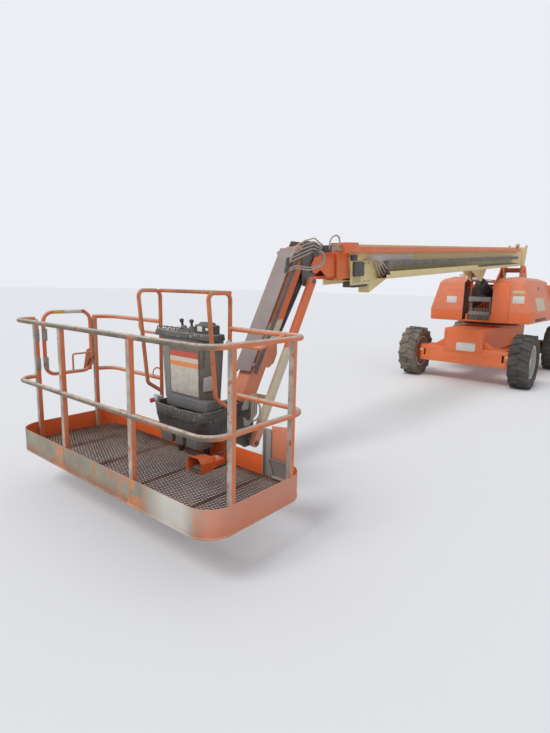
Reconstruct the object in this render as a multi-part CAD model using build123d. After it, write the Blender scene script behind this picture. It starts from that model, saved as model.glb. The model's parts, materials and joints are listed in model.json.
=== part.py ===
"""Telescopic boom lift with a jib: a wheeled chassis, a swinging turntable, a three-section boom
over the fixed axle, and a jib that hangs down to a long platform. Millimetres, +Z up, +X towards
the platform. The origin is on the ground, under the middle of the whole machine.

Sizes are worked out about the swing axis (x = 0) and moved to the origin when they are written.
"""
from build123d import *
from math import asin, cos, degrees, hypot, radians, sin, sqrt
import os

# Running gear
WHEELBASE = 3050
AXLE_X = WHEELBASE / 2   # the fixed axle, the steered one at minus this
TRACK = 2160
TYRE_DIAMETER = 1030
TYRE_WIDTH = 375
LUG_HEIGHT = 32
LUG_COUNT = 15           # on each side
LUG_HALF = 27
LUG_SWEEP = 64           # how far a lug's outer end trails its inner end
RIM_DIAMETER = 620
WHEEL_SIDES = 32
AXLE_HALF = 855          # half length of an axle beam
BEAM_LOW = 366
BEAM_HIGH = 695
BEAM_FRONT = AXLE_X + 255   # outer face of the fixed axle's beam
STEER_RANGE = 30
KINGPIN_Y = 770
SPINDLE_R = 55
SPINDLE_REACH = 30       # past the middle of the wheel
RUNNING_GAP = 0.3        # pins, bearings, pads
SIDE_GAP = 6             # plates that pass each other

# Chassis
CHASSIS_HALF = 390
CHASSIS_LOW = 620
CHASSIS_TOP = 1070
CHASSIS_FRONT = BEAM_FRONT - 100
CHASSIS_REAR = 25 - AXLE_X
PIVOT_HEIGHT = 700       # the steer axle's pivot on the chassis
PIVOT_R = 40
BEARING_RADIUS = 560
LUG_X = BEAM_FRONT - 20     # the lifting lugs' holes
LUG_Y = 360
LUG_Z = 1020
LUG_R = 45
DECK_LOW = 1182          # underside of the turntable
TAIL_TOP = 1242          # the counterweight stands on this
PLATE = 16

# Turntable
DECK_FRONT = 1027
DECK_HALF = 1005
DECK_REAR = -1500
TAIL_REAR = -2430
CREASE = 1411
HOOD_TOP = 2095
HOOD_NOSE = 1990         # the roof's front edge
RIDGE_X = 690            # where the nose's slope meets the roof
HOOD_REAR = -1180
HOOD_WALL = 5
WELL_HALF = 262          # half width of the well between the hoods
HOOD_OPEN = 65
COUNTERWEIGHT_TOP = 1990
ENGINE_TOP = 1900
TANK_TOP = 1800
EXHAUST_X = 350
EXHAUST_Y = 600
EXHAUST_R = 62
EXHAUST_TOP = 2190
UPRIGHT_Y = 232          # inner face of the boom uprights
UPRIGHT_WALL = 25

# Boom, along its own line
BOOM_SLOPE = 4.0         # degrees nose down, as parked
BOOM_MAX = 75
PIVOT_X = -1480
PIVOT_Z = 2340
BOOM_TOP_AT_NOSE = 2323  # top of the base section at its front end
BASE_NOSE_X = 6560
BASE_REAR_X = -1850
BASE_H = 420
BASE_W = 360
MID_H = 356
MID_W = 300
FLY_H = 296
FLY_W = 240
BOOM_WALL = 8
MID_NOSE_X = 6810
FLY_NOSE_X = 7060
STAGE = 6500             # travel of each telescoping section

# Lift cylinder
LIFT_FOOT_X = -850
LIFT_FOOT_Z = 1420
LIFT_EYE_X = 1330
LIFT_EYE_Z = 2090
LIFT_BARREL_R = 105
LIFT_ROD_R = 62

# Jib
JIB_ANGLE = -61
JIB_RANGE = 130
JIB_LENGTH = 1790
JIB_PIN_X = 7302
JIB_PIN_Z = 2209
LINK_DROP = 320
LINK_TILT = 3
LEVEL_PIN_X = 7170
LEVEL_PIN_Z = 2030
JIB_TUBE_W = 150
JIB_TUBE_UP = 130        # the tube above its line of pins
JIB_TUBE_DOWN = 50
LINK_IN = 135
LINK_W = 55
LINK_DEPTH = 85
LINK_TIE_S = 1300        # the flat that ties the two link bars
PIN_R = 22
JIB_LUG_S = 1200         # gusset pin, along the jib
JIB_LUG_W = -95
JIB_BARREL_R = 40
JIB_ROD_R = 24

# Platform
ROTATE_X = round(JIB_PIN_X + JIB_LENGTH * cos(radians(JIB_ANGLE)) + 360)
PLATFORM_X = ROTATE_X + 740
PLATFORM_HALF_L = 1263
PLATFORM_HALF_D = 478
CORNER_R = 190
FLOOR_TOP = round(JIB_PIN_Z + JIB_LENGTH * sin(radians(JIB_ANGLE)) - 251)
TOE_LOW = FLOOR_TOP - 42
TOE_HEIGHT = 193
RAIL_HEIGHT = 1100
MID_RAIL_DROP = 520
RAIL_R = 19
POST = 40
NEAR_CORNER = 200        # the near end posts, in from the long face
GUARD_RISE = 275         # the console guard above the top rail
GUARD_Y = (-400, 480)
GUARD_REACH = 230
TUBE_SIDES = 10          # bent rails are drawn with this many flats
GATE_OPEN = 85

MID_X = (PLATFORM_X + PLATFORM_HALF_D + TAIL_REAR) / 2
WHEEL_Z = TYRE_DIAMETER / 2


def block(x0, x1, y0, y1, z0, z1):
    return Pos((x0 + x1) / 2, (y0 + y1) / 2, (z0 + z1) / 2) * Box(x1 - x0, y1 - y0, z1 - z0)


def plate_xz(points, y0, y1):
    outline = Polyline([(x, y0, z) for x, z in points], close=True)
    return extrude(make_face(outline), amount=y1 - y0, dir=(0, 1, 0))


def plate_yz(points, x0, x1):
    outline = Polyline([(x0, y, z) for y, z in points], close=True)
    return extrude(make_face(outline), amount=x1 - x0, dir=(1, 0, 0))


def plate_xy(points, z0, z1):
    outline = Polyline([(x, y, z0) for x, y in points], close=True)
    return extrude(make_face(outline), amount=z1 - z0, dir=(0, 0, 1))


def disc_y(x, z, y0, y1, radius):
    return Pos(x, (y0 + y1) / 2, z) * Rot(90, 0, 0) * Cylinder(radius, y1 - y0)


def disc_z(x, y, z0, z1, radius):
    return Pos(x, y, (z0 + z1) / 2) * Cylinder(radius, z1 - z0)


def bar(start, end, radius):
    line = Line(start, end)
    return sweep(Plane(origin=start, z_dir=line % 0) * Circle(radius), path=line)


def bent_tube(points, bend, radius):
    path = FilletPolyline(*points, radius=bend)
    section = RegularPolygon(radius, TUBE_SIDES)
    return sweep(Plane(origin=path @ 0, z_dir=path % 0) * section, path=path)


def joined(pieces):
    result = pieces[0]
    for piece in pieces[1:]:
        result = result + piece
    return result


def mirrored_y(piece):
    return mirror(piece, about=Plane.XZ)


# Wheels: a lugged tyre on a dished steel rim, about +Y, at the wheel's own centre. Both have
# WHEEL_SIDES flats in place of round faces, because four wheels repeat them.
def drum(radius, low, high):
    """A flat-sided disc about +Z, its radius taken to the flats."""
    return extrude(Pos(0, 0, low) * RegularPolygon(radius, WHEEL_SIDES, major_radius=False), amount=high - low)


def sloped(piece, end, radius, inward, down):
    """The piece with the ring of edges at that radius of its top (1) or bottom (-1) sloped off."""
    face = piece.faces().sort_by(Axis.Z)[-1 if end > 0 else 0]
    ring = [edge for edge in face.edges() if abs(hypot(edge.center().X, edge.center().Y) - radius) < 1]
    return chamfer(ring, length=inward, length2=down, reference=face)


def tyre():
    outer = TYRE_DIAMETER / 2
    carcass = outer - LUG_HEIGHT
    half = TYRE_WIDTH / 2
    bead = RIM_DIAMETER / 2
    body = drum(carcass, -half, half) - drum(bead, -half - 1, half + 1)
    for end in (1, -1):
        body = sloped(sloped(body, end, carcass, 60, 14), end, bead, 100, 60)
    body = Rot(90, 0, 0) * body
    tip = LUG_HALF + LUG_SWEEP
    lug_top = sqrt(outer ** 2 - tip ** 2)
    pieces = [body]
    for side, phase in ((-1, 0), (1, 0.5)):
        inner, rim_side = -side * 10, side * (half - 15)
        lug = plate_xy([(-LUG_HALF, inner), (LUG_HALF, inner), (tip, rim_side), (LUG_SWEEP - LUG_HALF, rim_side)],
                       carcass - 8, lug_top)
        for step in range(LUG_COUNT):
            turn = 360 / LUG_COUNT * (step + phase) - degrees(asin(tip / outer))
            pieces.append(Rot(0, turn, 0) * lug)
    return joined(pieces)


def rim():
    """A barrel with flanges that hold the beads, a dished disc and the hub."""
    edge = TYRE_WIDTH / 2 - 43
    seat = RIM_DIAMETER / 2 - RUNNING_GAP
    barrel = drum(seat, -edge, edge) + drum(seat + 12, edge - 6.5, edge) + drum(seat + 12, -edge, 6.5 - edge)
    barrel -= drum(seat - 12, -edge - 1, edge + 1)
    disc = sloped(drum(seat - 6, -4, 62), 1, seat - 6, seat - 191, 50)
    disc -= sloped(drum(seat - 26, -5, 46), 1, seat - 26, seat - 198, 50.5)
    hub = drum(130, -60, 90) + sloped(drum(90, 90, 112), 1, 90, 20, 16)
    shell = Rot(-90, 0, 0) * joined([barrel, disc, hub])
    return shell - disc_y(0, 0, -61, SPINDLE_REACH + 4, SPINDLE_R + RUNNING_GAP)


def wheel_at(piece, x, side):
    placed = piece if side > 0 else mirrored_y(piece)
    return Pos(x, side * TRACK / 2, WHEEL_Z) * placed


HUB_INNER = TRACK / 2 - 60 - SIDE_GAP   # where a wheel's hub starts


def spindle(x):
    return disc_y(x, WHEEL_Z, HUB_INNER - 1, TRACK / 2 + SPINDLE_REACH, SPINDLE_R)


# Chassis
def chassis_frame():
    frame = block(CHASSIS_REAR, CHASSIS_FRONT, -CHASSIS_HALF, CHASSIS_HALF, CHASSIS_LOW, CHASSIS_TOP)
    frame = fillet(frame.edges().filter_by(Axis.Y).group_by(Axis.Z)[-1], 30)
    frame += disc_z(0, 0, CHASSIS_TOP - 40, CHASSIS_TOP + 30, BEARING_RADIUS + 40)
    for side in (-1, 1):
        y0, y1 = side * LUG_Y - 13, side * LUG_Y + 13
        lug = plate_xz([(CHASSIS_FRONT - 4, BEAM_HIGH + 0.3), (LUG_X + 30, BEAM_HIGH + 0.3),
                        (LUG_X + LUG_R, LUG_Z - 60), (LUG_X + LUG_R, LUG_Z), (LUG_X, LUG_Z + LUG_R),
                        (CHASSIS_FRONT - 4, LUG_Z + LUG_R)], y0, y1)
        lug = fillet(lug.edges().filter_by(Axis.Y).group_by(Axis.X)[-1].sort_by(Axis.Z)[-1:], 20)
        frame += lug - disc_y(LUG_X, LUG_Z, y0 - 5, y1 + 5, 26)
    frame += bar((CHASSIS_REAR - 100, 0, PIVOT_HEIGHT), (CHASSIS_REAR + 5, 0, PIVOT_HEIGHT), PIVOT_R)
    return frame


def axle_fixed():
    beam = block(BEAM_FRONT - 480, BEAM_FRONT, -AXLE_HALF + 60, AXLE_HALF - 60, BEAM_LOW, BEAM_HIGH)
    beam -= block(BEAM_FRONT - 480 + PLATE, BEAM_FRONT - PLATE, -AXLE_HALF, AXLE_HALF,
                  BEAM_LOW + PLATE, BEAM_HIGH - PLATE)
    face = block(BEAM_FRONT - PLATE, BEAM_FRONT, -AXLE_HALF, AXLE_HALF, BEAM_LOW, BEAM_HIGH)
    beam += face
    for side in (-1, 1):
        slot = block(BEAM_FRONT - 30, BEAM_FRONT + 5, side * 770 - 20, side * 770 + 20, 470, 610)
        beam -= slot
        beam += disc_y(AXLE_X, WHEEL_Z, side * 640 - 160, side * 640 + 160, 120)
        gusset = plate_yz([(side * 391, BEAM_HIGH - 2), (side * 560, BEAM_HIGH - 2), (side * 391, 860)],
                          BEAM_FRONT - 120, BEAM_FRONT - 120 + PLATE)
        beam += gusset
        flange = disc_y(AXLE_X, WHEEL_Z, *sorted((side * 790, side * HUB_INNER)), 165)
        beam += flange
        beam += spindle(AXLE_X) if side > 0 else mirrored_y(spindle(AXLE_X))
    return beam - block(CHASSIS_REAR, CHASSIS_FRONT, -CHASSIS_HALF, CHASSIS_HALF, CHASSIS_LOW, CHASSIS_TOP)


YOKE_R = 55              # the yoke arms' ends, round the kingpin
KINGPIN_R = 35


def axle_steer():
    x = -AXLE_X
    beam = block(x - 130, x + 130, -560, 560, 385, 600)
    beam -= block(x - 130 + PLATE, x + 130 - PLATE, -561, 561, 385 + PLATE, 600 - PLATE)
    for side in (-1, 1):
        beam += block(x - 60, x + 60, *sorted((side * 540, side * 660)), 355, 675)
        beam += block(x - 130, x + 130, *sorted((side * 545, side * 560)), 385, 600)
        for z0, z1 in ((355, 405), (625, 675)):
            arm = block(x - YOKE_R, x + YOKE_R, *sorted((side * 650, side * KINGPIN_Y)), z0, z1)
            arm += disc_z(x, side * KINGPIN_Y, z0, z1, YOKE_R)
            beam += arm - disc_z(x, side * KINGPIN_Y, z0, z1, KINGPIN_R)
    beam += plate_yz([(-170, 598), (170, 598), (110, PIVOT_HEIGHT + 70), (-110, PIVOT_HEIGHT + 70)],
                     x - 60, CHASSIS_REAR - RUNNING_GAP)
    beam -= bar((x - 70, 0, PIVOT_HEIGHT), (CHASSIS_REAR, 0, PIVOT_HEIGHT), PIVOT_R + RUNNING_GAP)
    return beam


TIE_ARM = 240            # the tie rod's pins behind the kingpins
TIE_IN = 70              # and inboard of them


def knuckle():
    """The left steering knuckle: a post on its kingpin, the drive flange and the steering arm."""
    x, y = -AXLE_X, KINGPIN_Y
    post = disc_z(x, y, 411, 619, 75)
    pin = disc_z(x, y, 350, 680, KINGPIN_R - RUNNING_GAP)
    boss = disc_y(x, WHEEL_Z, y, HUB_INNER - 140, 70)
    flange = disc_y(x, WHEEL_Z, HUB_INNER - 141, HUB_INNER, 120)
    arm = plate_xy([(x + 50, y - 40), (x + 50, y + 40), (x + TIE_ARM, y), (x + TIE_ARM + 50, y - TIE_IN + 20),
                    (x + TIE_ARM + 40, y - TIE_IN - 15), (x + TIE_ARM, y - TIE_IN - 15)], 455, 480)
    return joined([post, pin, boss, flange, arm, spindle(x)])


def tie_rod():
    x, y = -AXLE_X + TIE_ARM, KINGPIN_Y - TIE_IN
    rod = bar((x, -y, 508), (x, y, 508), 22)
    for side in (-1, 1):
        rod += disc_z(x, side * y, 480.5, 536, 36)
    return rod


def swing_bearing():
    ring = disc_z(0, 0, CHASSIS_TOP + 30, DECK_LOW - 45, BEARING_RADIUS)
    return ring - disc_z(0, 0, CHASSIS_TOP, DECK_LOW, BEARING_RADIUS - 120)


# Turntable
HINGE_Y = WELL_HALF + 27
HINGE_Z = HOOD_TOP - 15
HINGE_FRONT = RIDGE_X + 20
HINGE_TABS = (HOOD_REAR + 60, -400, 150, HINGE_FRONT - 80)
HINGE_TUBES = (HOOD_REAR + 200, -130, HINGE_FRONT - 220)


def hinge_rail():
    """The left rail along the well that carries the hood's hinge pin: a bracket off the boom's
    upright at the rear, a post at the front."""
    y0, y1 = HINGE_Y - 26, HINGE_Y + 4
    rear, front = HOOD_REAR + 30, HINGE_FRONT - 40
    rail = block(HOOD_REAR, HINGE_FRONT + 20, y0, y1, HINGE_Z - 60, HINGE_Z - 20)
    rail += block(front - 20, front + 20, y0, y1, DECK_LOW + 18, HINGE_Z - 40)
    rail += block(rear - 30, rear + 60, UPRIGHT_Y + 10, y1, HINGE_Z - 110, HINGE_Z - 40)
    rail += bar((HOOD_REAR + 10, HINGE_Y, HINGE_Z), (HINGE_FRONT, HINGE_Y, HINGE_Z), 7)
    for x in HINGE_TABS:
        rail += block(x - 12, x + 12, HINGE_Y - 5, HINGE_Y + 4, HINGE_Z - 30, HINGE_Z - 2)
    return rail


def turntable_frame():
    deck = block(DECK_REAR, DECK_FRONT - 40, -WELL_HALF - 330, WELL_HALF + 330, DECK_LOW, DECK_LOW + 30)
    deck += disc_z(0, 0, DECK_LOW - 45 + RUNNING_GAP, DECK_LOW + 5, BEARING_RADIUS - 30)
    foot = block(LIFT_FOOT_X - 170, LIFT_FOOT_X + 170, -175, 175, DECK_LOW + 15, DECK_LOW + 50)
    for side in (-1, 1):
        y0, y1 = sorted((side * 125, side * 150))
        foot += plate_xz([(LIFT_FOOT_X - 130, DECK_LOW + 40), (LIFT_FOOT_X + 130, DECK_LOW + 40),
                          (LIFT_FOOT_X + 130, DECK_LOW + 70), (LIFT_FOOT_X + 70, LIFT_FOOT_Z + 75),
                          (LIFT_FOOT_X - 70, LIFT_FOOT_Z + 75), (LIFT_FOOT_X - 130, DECK_LOW + 70)], y0, y1)
    deck += foot + disc_y(LIFT_FOOT_X, LIFT_FOOT_Z, -160, 160, 45)
    for side in (-1, 1):
        y0, y1 = sorted((side * UPRIGHT_Y, side * (UPRIGHT_Y + UPRIGHT_WALL)))
        deck += plate_xz([(DECK_REAR, DECK_LOW + 20), (DECK_FRONT - 60, DECK_LOW + 20),
                          (DECK_FRONT - 60, DECK_LOW + 150), (-400, DECK_LOW + 420),
                          (PIVOT_X + 230, PIVOT_Z - 60), (PIVOT_X + 130, PIVOT_Z + 110),
                          (PIVOT_X - 90, PIVOT_Z + 110), (PIVOT_X - 300, PIVOT_Z - 120),
                          (PIVOT_X - 420, DECK_LOW + 500), (PIVOT_X - 420, DECK_LOW + 20)], y0, y1)
    deck += disc_y(PIVOT_X, PIVOT_Z, -UPRIGHT_Y - 55, UPRIGHT_Y + 55, 55)
    for side in (-1, 1):
        deck += hinge_rail() if side > 0 else mirrored_y(hinge_rail())
    deck += block(TAIL_REAR + 250, DECK_REAR + 1, -UPRIGHT_Y - 25, UPRIGHT_Y + 25, DECK_LOW, TAIL_TOP)
    return deck


def counterweight():
    half = 960
    outline = [(TAIL_REAR + 130, -half), (HOOD_REAR - 60, -half), (HOOD_REAR - 60, -UPRIGHT_Y - 60),
               (PIVOT_X - 480, -UPRIGHT_Y - 60), (PIVOT_X - 480, UPRIGHT_Y + 60),
               (HOOD_REAR - 60, UPRIGHT_Y + 60), (HOOD_REAR - 60, half), (TAIL_REAR + 130, half),
               (TAIL_REAR, 620), (TAIL_REAR, -620)]
    weight = plate_xy(outline, TAIL_TOP + RUNNING_GAP, COUNTERWEIGHT_TOP)
    weight = fillet(weight.edges().filter_by(Axis.Z).group_by(Axis.X)[0], 120)
    return chamfer(weight.faces().sort_by(Axis.Z)[-1].edges().sort_by(Axis.X)[0], 90)


def hood_profile(wall):
    """Left side, from the middle out and down: roof, shoulder, slope, crease, skirt."""
    return [(HINGE_Y + 22 - 4.4 * wall, HOOD_TOP - wall), (640, HOOD_TOP + 30 - wall),
            (820 - 0.8 * wall, HOOD_TOP - 35 - wall), (DECK_HALF - wall, CREASE - 0.3 * wall),
            (DECK_HALF - 15 - wall, DECK_LOW + 4 - wall / 5)]


def under_roof(wall):
    """All that lies under the roof's side view, whose nose slopes down to the front."""
    return plate_xz([(HOOD_REAR - 1, DECK_LOW), (DECK_FRONT + 1, DECK_LOW), (DECK_FRONT + 1, HOOD_NOSE - wall),
                     (RIDGE_X, HOOD_TOP + 31 - wall), (HOOD_REAR - 1, HOOD_TOP + 31 - wall)],
                    WELL_HALF, DECK_HALF + 10)


def hood_body(x0, x1, wall):
    outline = hood_profile(wall)
    low_in = (outline[0][0], outline[-1][1])
    return plate_yz(outline + [low_in], x0, x1) & under_roof(wall)


def hood_shell(x0, x1):
    hood = hood_body(x0, x1, 0) - hood_body(x0 - 0.5, x1 - HOOD_WALL, HOOD_WALL)
    for x in HINGE_TUBES:
        leaf = bar((x - 90, HINGE_Y, HINGE_Z), (x + 90, HINGE_Y, HINGE_Z), 15)
        leaf += block(x - 90, x + 90, HINGE_Y, HINGE_Y + 30, HOOD_TOP - 6, HOOD_TOP - 1)
        hood += leaf - bar((x - 91, HINGE_Y, HINGE_Z), (x + 91, HINGE_Y, HINGE_Z), 7 + RUNNING_GAP)
    return hood


PANEL_Y = 600            # outer edge of the fixed panel beside the well


def hood_left():
    hood = hood_shell(HOOD_REAR, DECK_FRONT)
    return hood - block(DECK_FRONT - 60, DECK_FRONT + 5, WELL_HALF - 5, PANEL_Y + 4, DECK_LOW, HOOD_TOP + 100)


def hood_right():
    hood = mirrored_y(hood_shell(HOOD_REAR, DECK_FRONT))
    return hood + disc_z(EXHAUST_X, -EXHAUST_Y, HOOD_TOP + 22, EXHAUST_TOP, EXHAUST_R)


def front_panel():
    """The fixed inner panel ahead of the left hood, with a lip back to the hood's cut edge."""
    x0, x1 = DECK_FRONT - 12, DECK_FRONT - 5
    rise = (HOOD_TOP + 31 - HOOD_NOSE) / (DECK_FRONT + 1 - RIDGE_X) * 42
    panel = plate_xz([(x0, DECK_LOW + 4), (x1, DECK_LOW + 4), (x1, HOOD_NOSE), (x1 - 42, HOOD_NOSE + rise),
                      (x1 - 42, HOOD_NOSE + rise - 7), (x0, HOOD_NOSE - 6)], WELL_HALF + 4, PANEL_Y)
    foot = block(DECK_FRONT - 39.7, x1, WELL_HALF + 4, PANEL_Y, DECK_LOW, DECK_LOW + 31)
    return panel + foot


def engine():
    return block(-900, 620, -840, -UPRIGHT_Y - 70, DECK_LOW + 30 + RUNNING_GAP, ENGINE_TOP)


def fuel_tank():
    return block(-1000, 500, UPRIGHT_Y + 90, 850, DECK_LOW + 30 + RUNNING_GAP, TANK_TOP)


def valve_bank():
    base = block(DECK_FRONT - 420, DECK_FRONT - 120, -215, 215, DECK_LOW + 30 + RUNNING_GAP, DECK_LOW + 210)
    shelf = block(DECK_FRONT - 330, DECK_FRONT - 60, -225, 225, DECK_LOW + 420, DECK_LOW + 520)
    legs = [block(DECK_FRONT - 200, DECK_FRONT - 170, y - 15, y + 15, DECK_LOW + 209, DECK_LOW + 421)
            for y in (-190, 190)]
    return joined([base, shelf] + legs)


# Boom, in its own frame: u along the boom from the pivot, w square to it
def boom_place(piece):
    return Pos(PIVOT_X, 0, PIVOT_Z) * Rot(0, BOOM_SLOPE, 0) * piece


def to_boom(x, z):
    a = radians(BOOM_SLOPE)
    dx, dz = x - PIVOT_X, z - PIVOT_Z
    return dx * cos(a) - dz * sin(a), dx * sin(a) + dz * cos(a)


NOSE_U, NOSE_TOP_W = to_boom(BASE_NOSE_X, BOOM_TOP_AT_NOSE)
AXIS_W = NOSE_TOP_W - BASE_H / 2
REAR_U = to_boom(BASE_REAR_X, PIVOT_Z)[0]
MID_NOSE_U = to_boom(MID_NOSE_X, BOOM_TOP_AT_NOSE)[0]
FLY_NOSE_U = to_boom(FLY_NOSE_X, BOOM_TOP_AT_NOSE)[0]
LEVEL_U, LEVEL_W = to_boom(LEVEL_PIN_X, LEVEL_PIN_Z)


def box_section(u0, u1, height, width):
    outer = block(u0, u1, -width / 2, width / 2, AXIS_W - height / 2, AXIS_W + height / 2)
    inner = block(u0 - 1, u1 + 1, -width / 2 + BOOM_WALL, width / 2 - BOOM_WALL,
                  AXIS_W - height / 2 + BOOM_WALL, AXIS_W + height / 2 - BOOM_WALL)
    return outer - inner


def nose_pads(u1, outer_h, outer_w, inner_h, inner_w):
    """Bearing pads inside a section's nose, round the section that slides in it."""
    pads = []
    gap = RUNNING_GAP
    for side in (-1, 1):
        y0, y1 = sorted((side * (inner_w / 2 + gap), side * (outer_w / 2 - BOOM_WALL + 1)))
        pads.append(block(u1 - 150, u1 - 5, y0, y1, AXIS_W - 60, AXIS_W + 60))
        w0, w1 = sorted((side * (inner_h / 2 + gap), side * (outer_h / 2 - BOOM_WALL + 1)))
        pads.append(block(u1 - 150, u1 - 5, -60, 60, AXIS_W + w0, AXIS_W + w1))
    return joined(pads)


def boom_base():
    low, high = AXIS_W - BASE_H / 2, AXIS_W + BASE_H / 2
    base = box_section(REAR_U + 60, NOSE_U, BASE_H, BASE_W)
    base += nose_pads(NOSE_U, BASE_H, BASE_W, MID_H, MID_W)
    for side in (-1, 1):
        y0, y1 = sorted((side * (BASE_W / 2 - 1), side * (BASE_W / 2 + 22)))
        base += plate_xz([(REAR_U, high + 60), (REAR_U + 130, high + 60), (REAR_U + 420, high - 60),
                          (120, -60), (70, -220), (-110, -220), (-150, -60)], y0, y1)
        base += plate_xz([(NOSE_U - 190, low - 30), (NOSE_U - 4, low - 30), (NOSE_U - 4, high - 130),
                          (NOSE_U - 190, high - 130)], y0, y1)
        eye_u, eye_w = to_boom(LIFT_EYE_X, LIFT_EYE_Z)
        base += plate_xz([(eye_u - 330, low + 20), (eye_u + 700, low + 20), (eye_u + 90, eye_w - 40),
                          (eye_u + 40, eye_w - 75), (eye_u - 40, eye_w - 75), (eye_u - 75, eye_w - 30)],
                         *sorted((side * 80, side * 105)))
    base -= disc_y(0, 0, -BASE_W, BASE_W, 55 + RUNNING_GAP)
    return boom_place(base)


def boom_mid():
    mid = box_section(REAR_U + 300, MID_NOSE_U - 120, MID_H, MID_W)
    collar = block(MID_NOSE_U - 170, MID_NOSE_U, -MID_W / 2, MID_W / 2,
                   AXIS_W - MID_H / 2, AXIS_W + MID_H / 2)
    collar -= block(MID_NOSE_U - 171, MID_NOSE_U + 1, -FLY_W / 2 - 7, FLY_W / 2 + 7,
                    AXIS_W - FLY_H / 2 - 7, AXIS_W + FLY_H / 2 + 7)
    collar += nose_pads(MID_NOSE_U, MID_H, MID_W, FLY_H, FLY_W)
    return boom_place(mid + collar)


def boom_fly():
    fly = box_section(REAR_U + 420, FLY_NOSE_U - 150, FLY_H, FLY_W)
    low, high = AXIS_W - FLY_H / 2, AXIS_W + FLY_H / 2
    for side in (-1, 1):
        y0, y1 = sorted((side * (FLY_W / 2 - 20), side * FLY_W / 2))
        fly += plate_xz([(FLY_NOSE_U - 200, low), (FLY_NOSE_U - 110, low), (FLY_NOSE_U + 20, LEVEL_W - 20),
                         (LEVEL_U - 20, LEVEL_W - 62), (LEVEL_U + 45, LEVEL_W - 45),
                         (LEVEL_U + 62, LEVEL_W + 30), (FLY_NOSE_U + 60, high), (FLY_NOSE_U - 200, high)],
                        y0, y1)
    fly += block(FLY_NOSE_U - 200, FLY_NOSE_U - 130, -FLY_W / 2, FLY_W / 2, high - 14, high)
    fly += disc_y(LEVEL_U, LEVEL_W, -FLY_W / 2, FLY_W / 2, 24)
    return boom_place(fly)


PUSH_Y = BASE_W / 2 + 12
PUSH_W = AXIS_W + BASE_H / 2 - 75


def push_tube():
    y0, y1 = PUSH_Y, PUSH_Y + 70
    tube = block(560, NOSE_U + 60, y0, y1, PUSH_W - 21, PUSH_W + 45)
    head = block(NOSE_U + 8, MID_NOSE_U + 40, y0 - 5, y1 + 25, PUSH_W - 20, PUSH_W + 90)
    arm = block(NOSE_U + 60, FLY_NOSE_U - 60, y0 - 5, y0 + 15, PUSH_W - 30, PUSH_W + 85)
    cross = block(FLY_NOSE_U - 190, FLY_NOSE_U - 60, FLY_W / 2 + 0.3, y0 + 1, PUSH_W - 30, PUSH_W + 5)
    return boom_place(joined([tube, head, arm, cross]))


TRAY_U0, TRAY_U1 = 900, NOSE_U - 620
TRAY_W = AXIS_W - BASE_H / 2 + 8
TRACK_U0, TRACK_U1 = TRAY_U0 + 20, TRAY_U1 - 230
CHAIN_H = 62             # a link's height
CHAIN_LOOP = 105         # outer radius of the carrier chain's bend
CHAIN_PITCH = 330


def track_tray():
    y0, y1 = BASE_W / 2, BASE_W / 2 + 150
    tray = block(TRAY_U0, TRAY_U1, y0, y1, TRAY_W - 6, TRAY_W)
    tray += block(TRAY_U0, TRAY_U1, y1 - 6, y1, TRAY_W - 1, TRAY_W + 42)
    return boom_place(tray)


def power_track():
    """The carrier chain: a lower run in its tray, a bend at the front and an upper run back."""
    y0, y1 = BASE_W / 2 + 12, BASE_W / 2 + 132
    low = TRAY_W + RUNNING_GAP
    centre = low + CHAIN_LOOP
    chain = block(TRACK_U0, TRACK_U1, y0, y1, low, low + 2 * CHAIN_LOOP)
    chain += disc_y(TRACK_U1, centre, y0, y1, CHAIN_LOOP)
    chain -= block(TRACK_U0 - 1, TRACK_U1, y0 - 1, y1 + 1, low + CHAIN_H, low + 2 * CHAIN_LOOP - CHAIN_H)
    chain -= disc_y(TRACK_U1, centre, y0 - 1, y1 + 1, CHAIN_LOOP - CHAIN_H)
    joints = [block(u, u + 14, y1 - 8, y1 + 1, low - 1, low + 2 * CHAIN_LOOP + 1)
              for u in range(round(TRACK_U0 + CHAIN_PITCH), round(TRACK_U1), CHAIN_PITCH)]
    return boom_place(chain - joints)


def lift_cylinder():
    foot = Vector(LIFT_FOOT_X, 0, LIFT_FOOT_Z)
    eye = Vector(LIFT_EYE_X, 0, LIFT_EYE_Z)
    along = (eye - foot).normalized()
    length = (eye - foot).length
    barrel = bar(tuple(foot + along * 60), tuple(foot + along * (length - 330)), LIFT_BARREL_R)
    barrel -= bar(tuple(foot + along * 140), tuple(foot + along * (length - 329)), LIFT_ROD_R + RUNNING_GAP)
    barrel += disc_y(LIFT_FOOT_X, LIFT_FOOT_Z, -115, 115, 90)
    barrel -= disc_y(LIFT_FOOT_X, LIFT_FOOT_Z, -120, 120, 45 + RUNNING_GAP)
    rod = bar(tuple(foot + along * 160), tuple(foot + along * (length - 50)), LIFT_ROD_R)
    rod += disc_y(LIFT_EYE_X, LIFT_EYE_Z, -70, 70, 72)
    return barrel, rod


# Jib, in its own frame: s along the jib from its upper pin, w square to it
JIB_END = (JIB_PIN_X + JIB_LENGTH * cos(radians(JIB_ANGLE)), JIB_PIN_Z + JIB_LENGTH * sin(radians(JIB_ANGLE)))
LINK_PIN = (JIB_PIN_X - LINK_DROP * sin(radians(LINK_TILT)), JIB_PIN_Z - LINK_DROP * cos(radians(LINK_TILT)))
LINK_END = (LINK_PIN[0] + JIB_END[0] - JIB_PIN_X, LINK_PIN[1] + JIB_END[1] - JIB_PIN_Z)


def jib_place(piece):
    return Pos(JIB_PIN_X, 0, JIB_PIN_Z) * Rot(0, -JIB_ANGLE, 0) * piece


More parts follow.
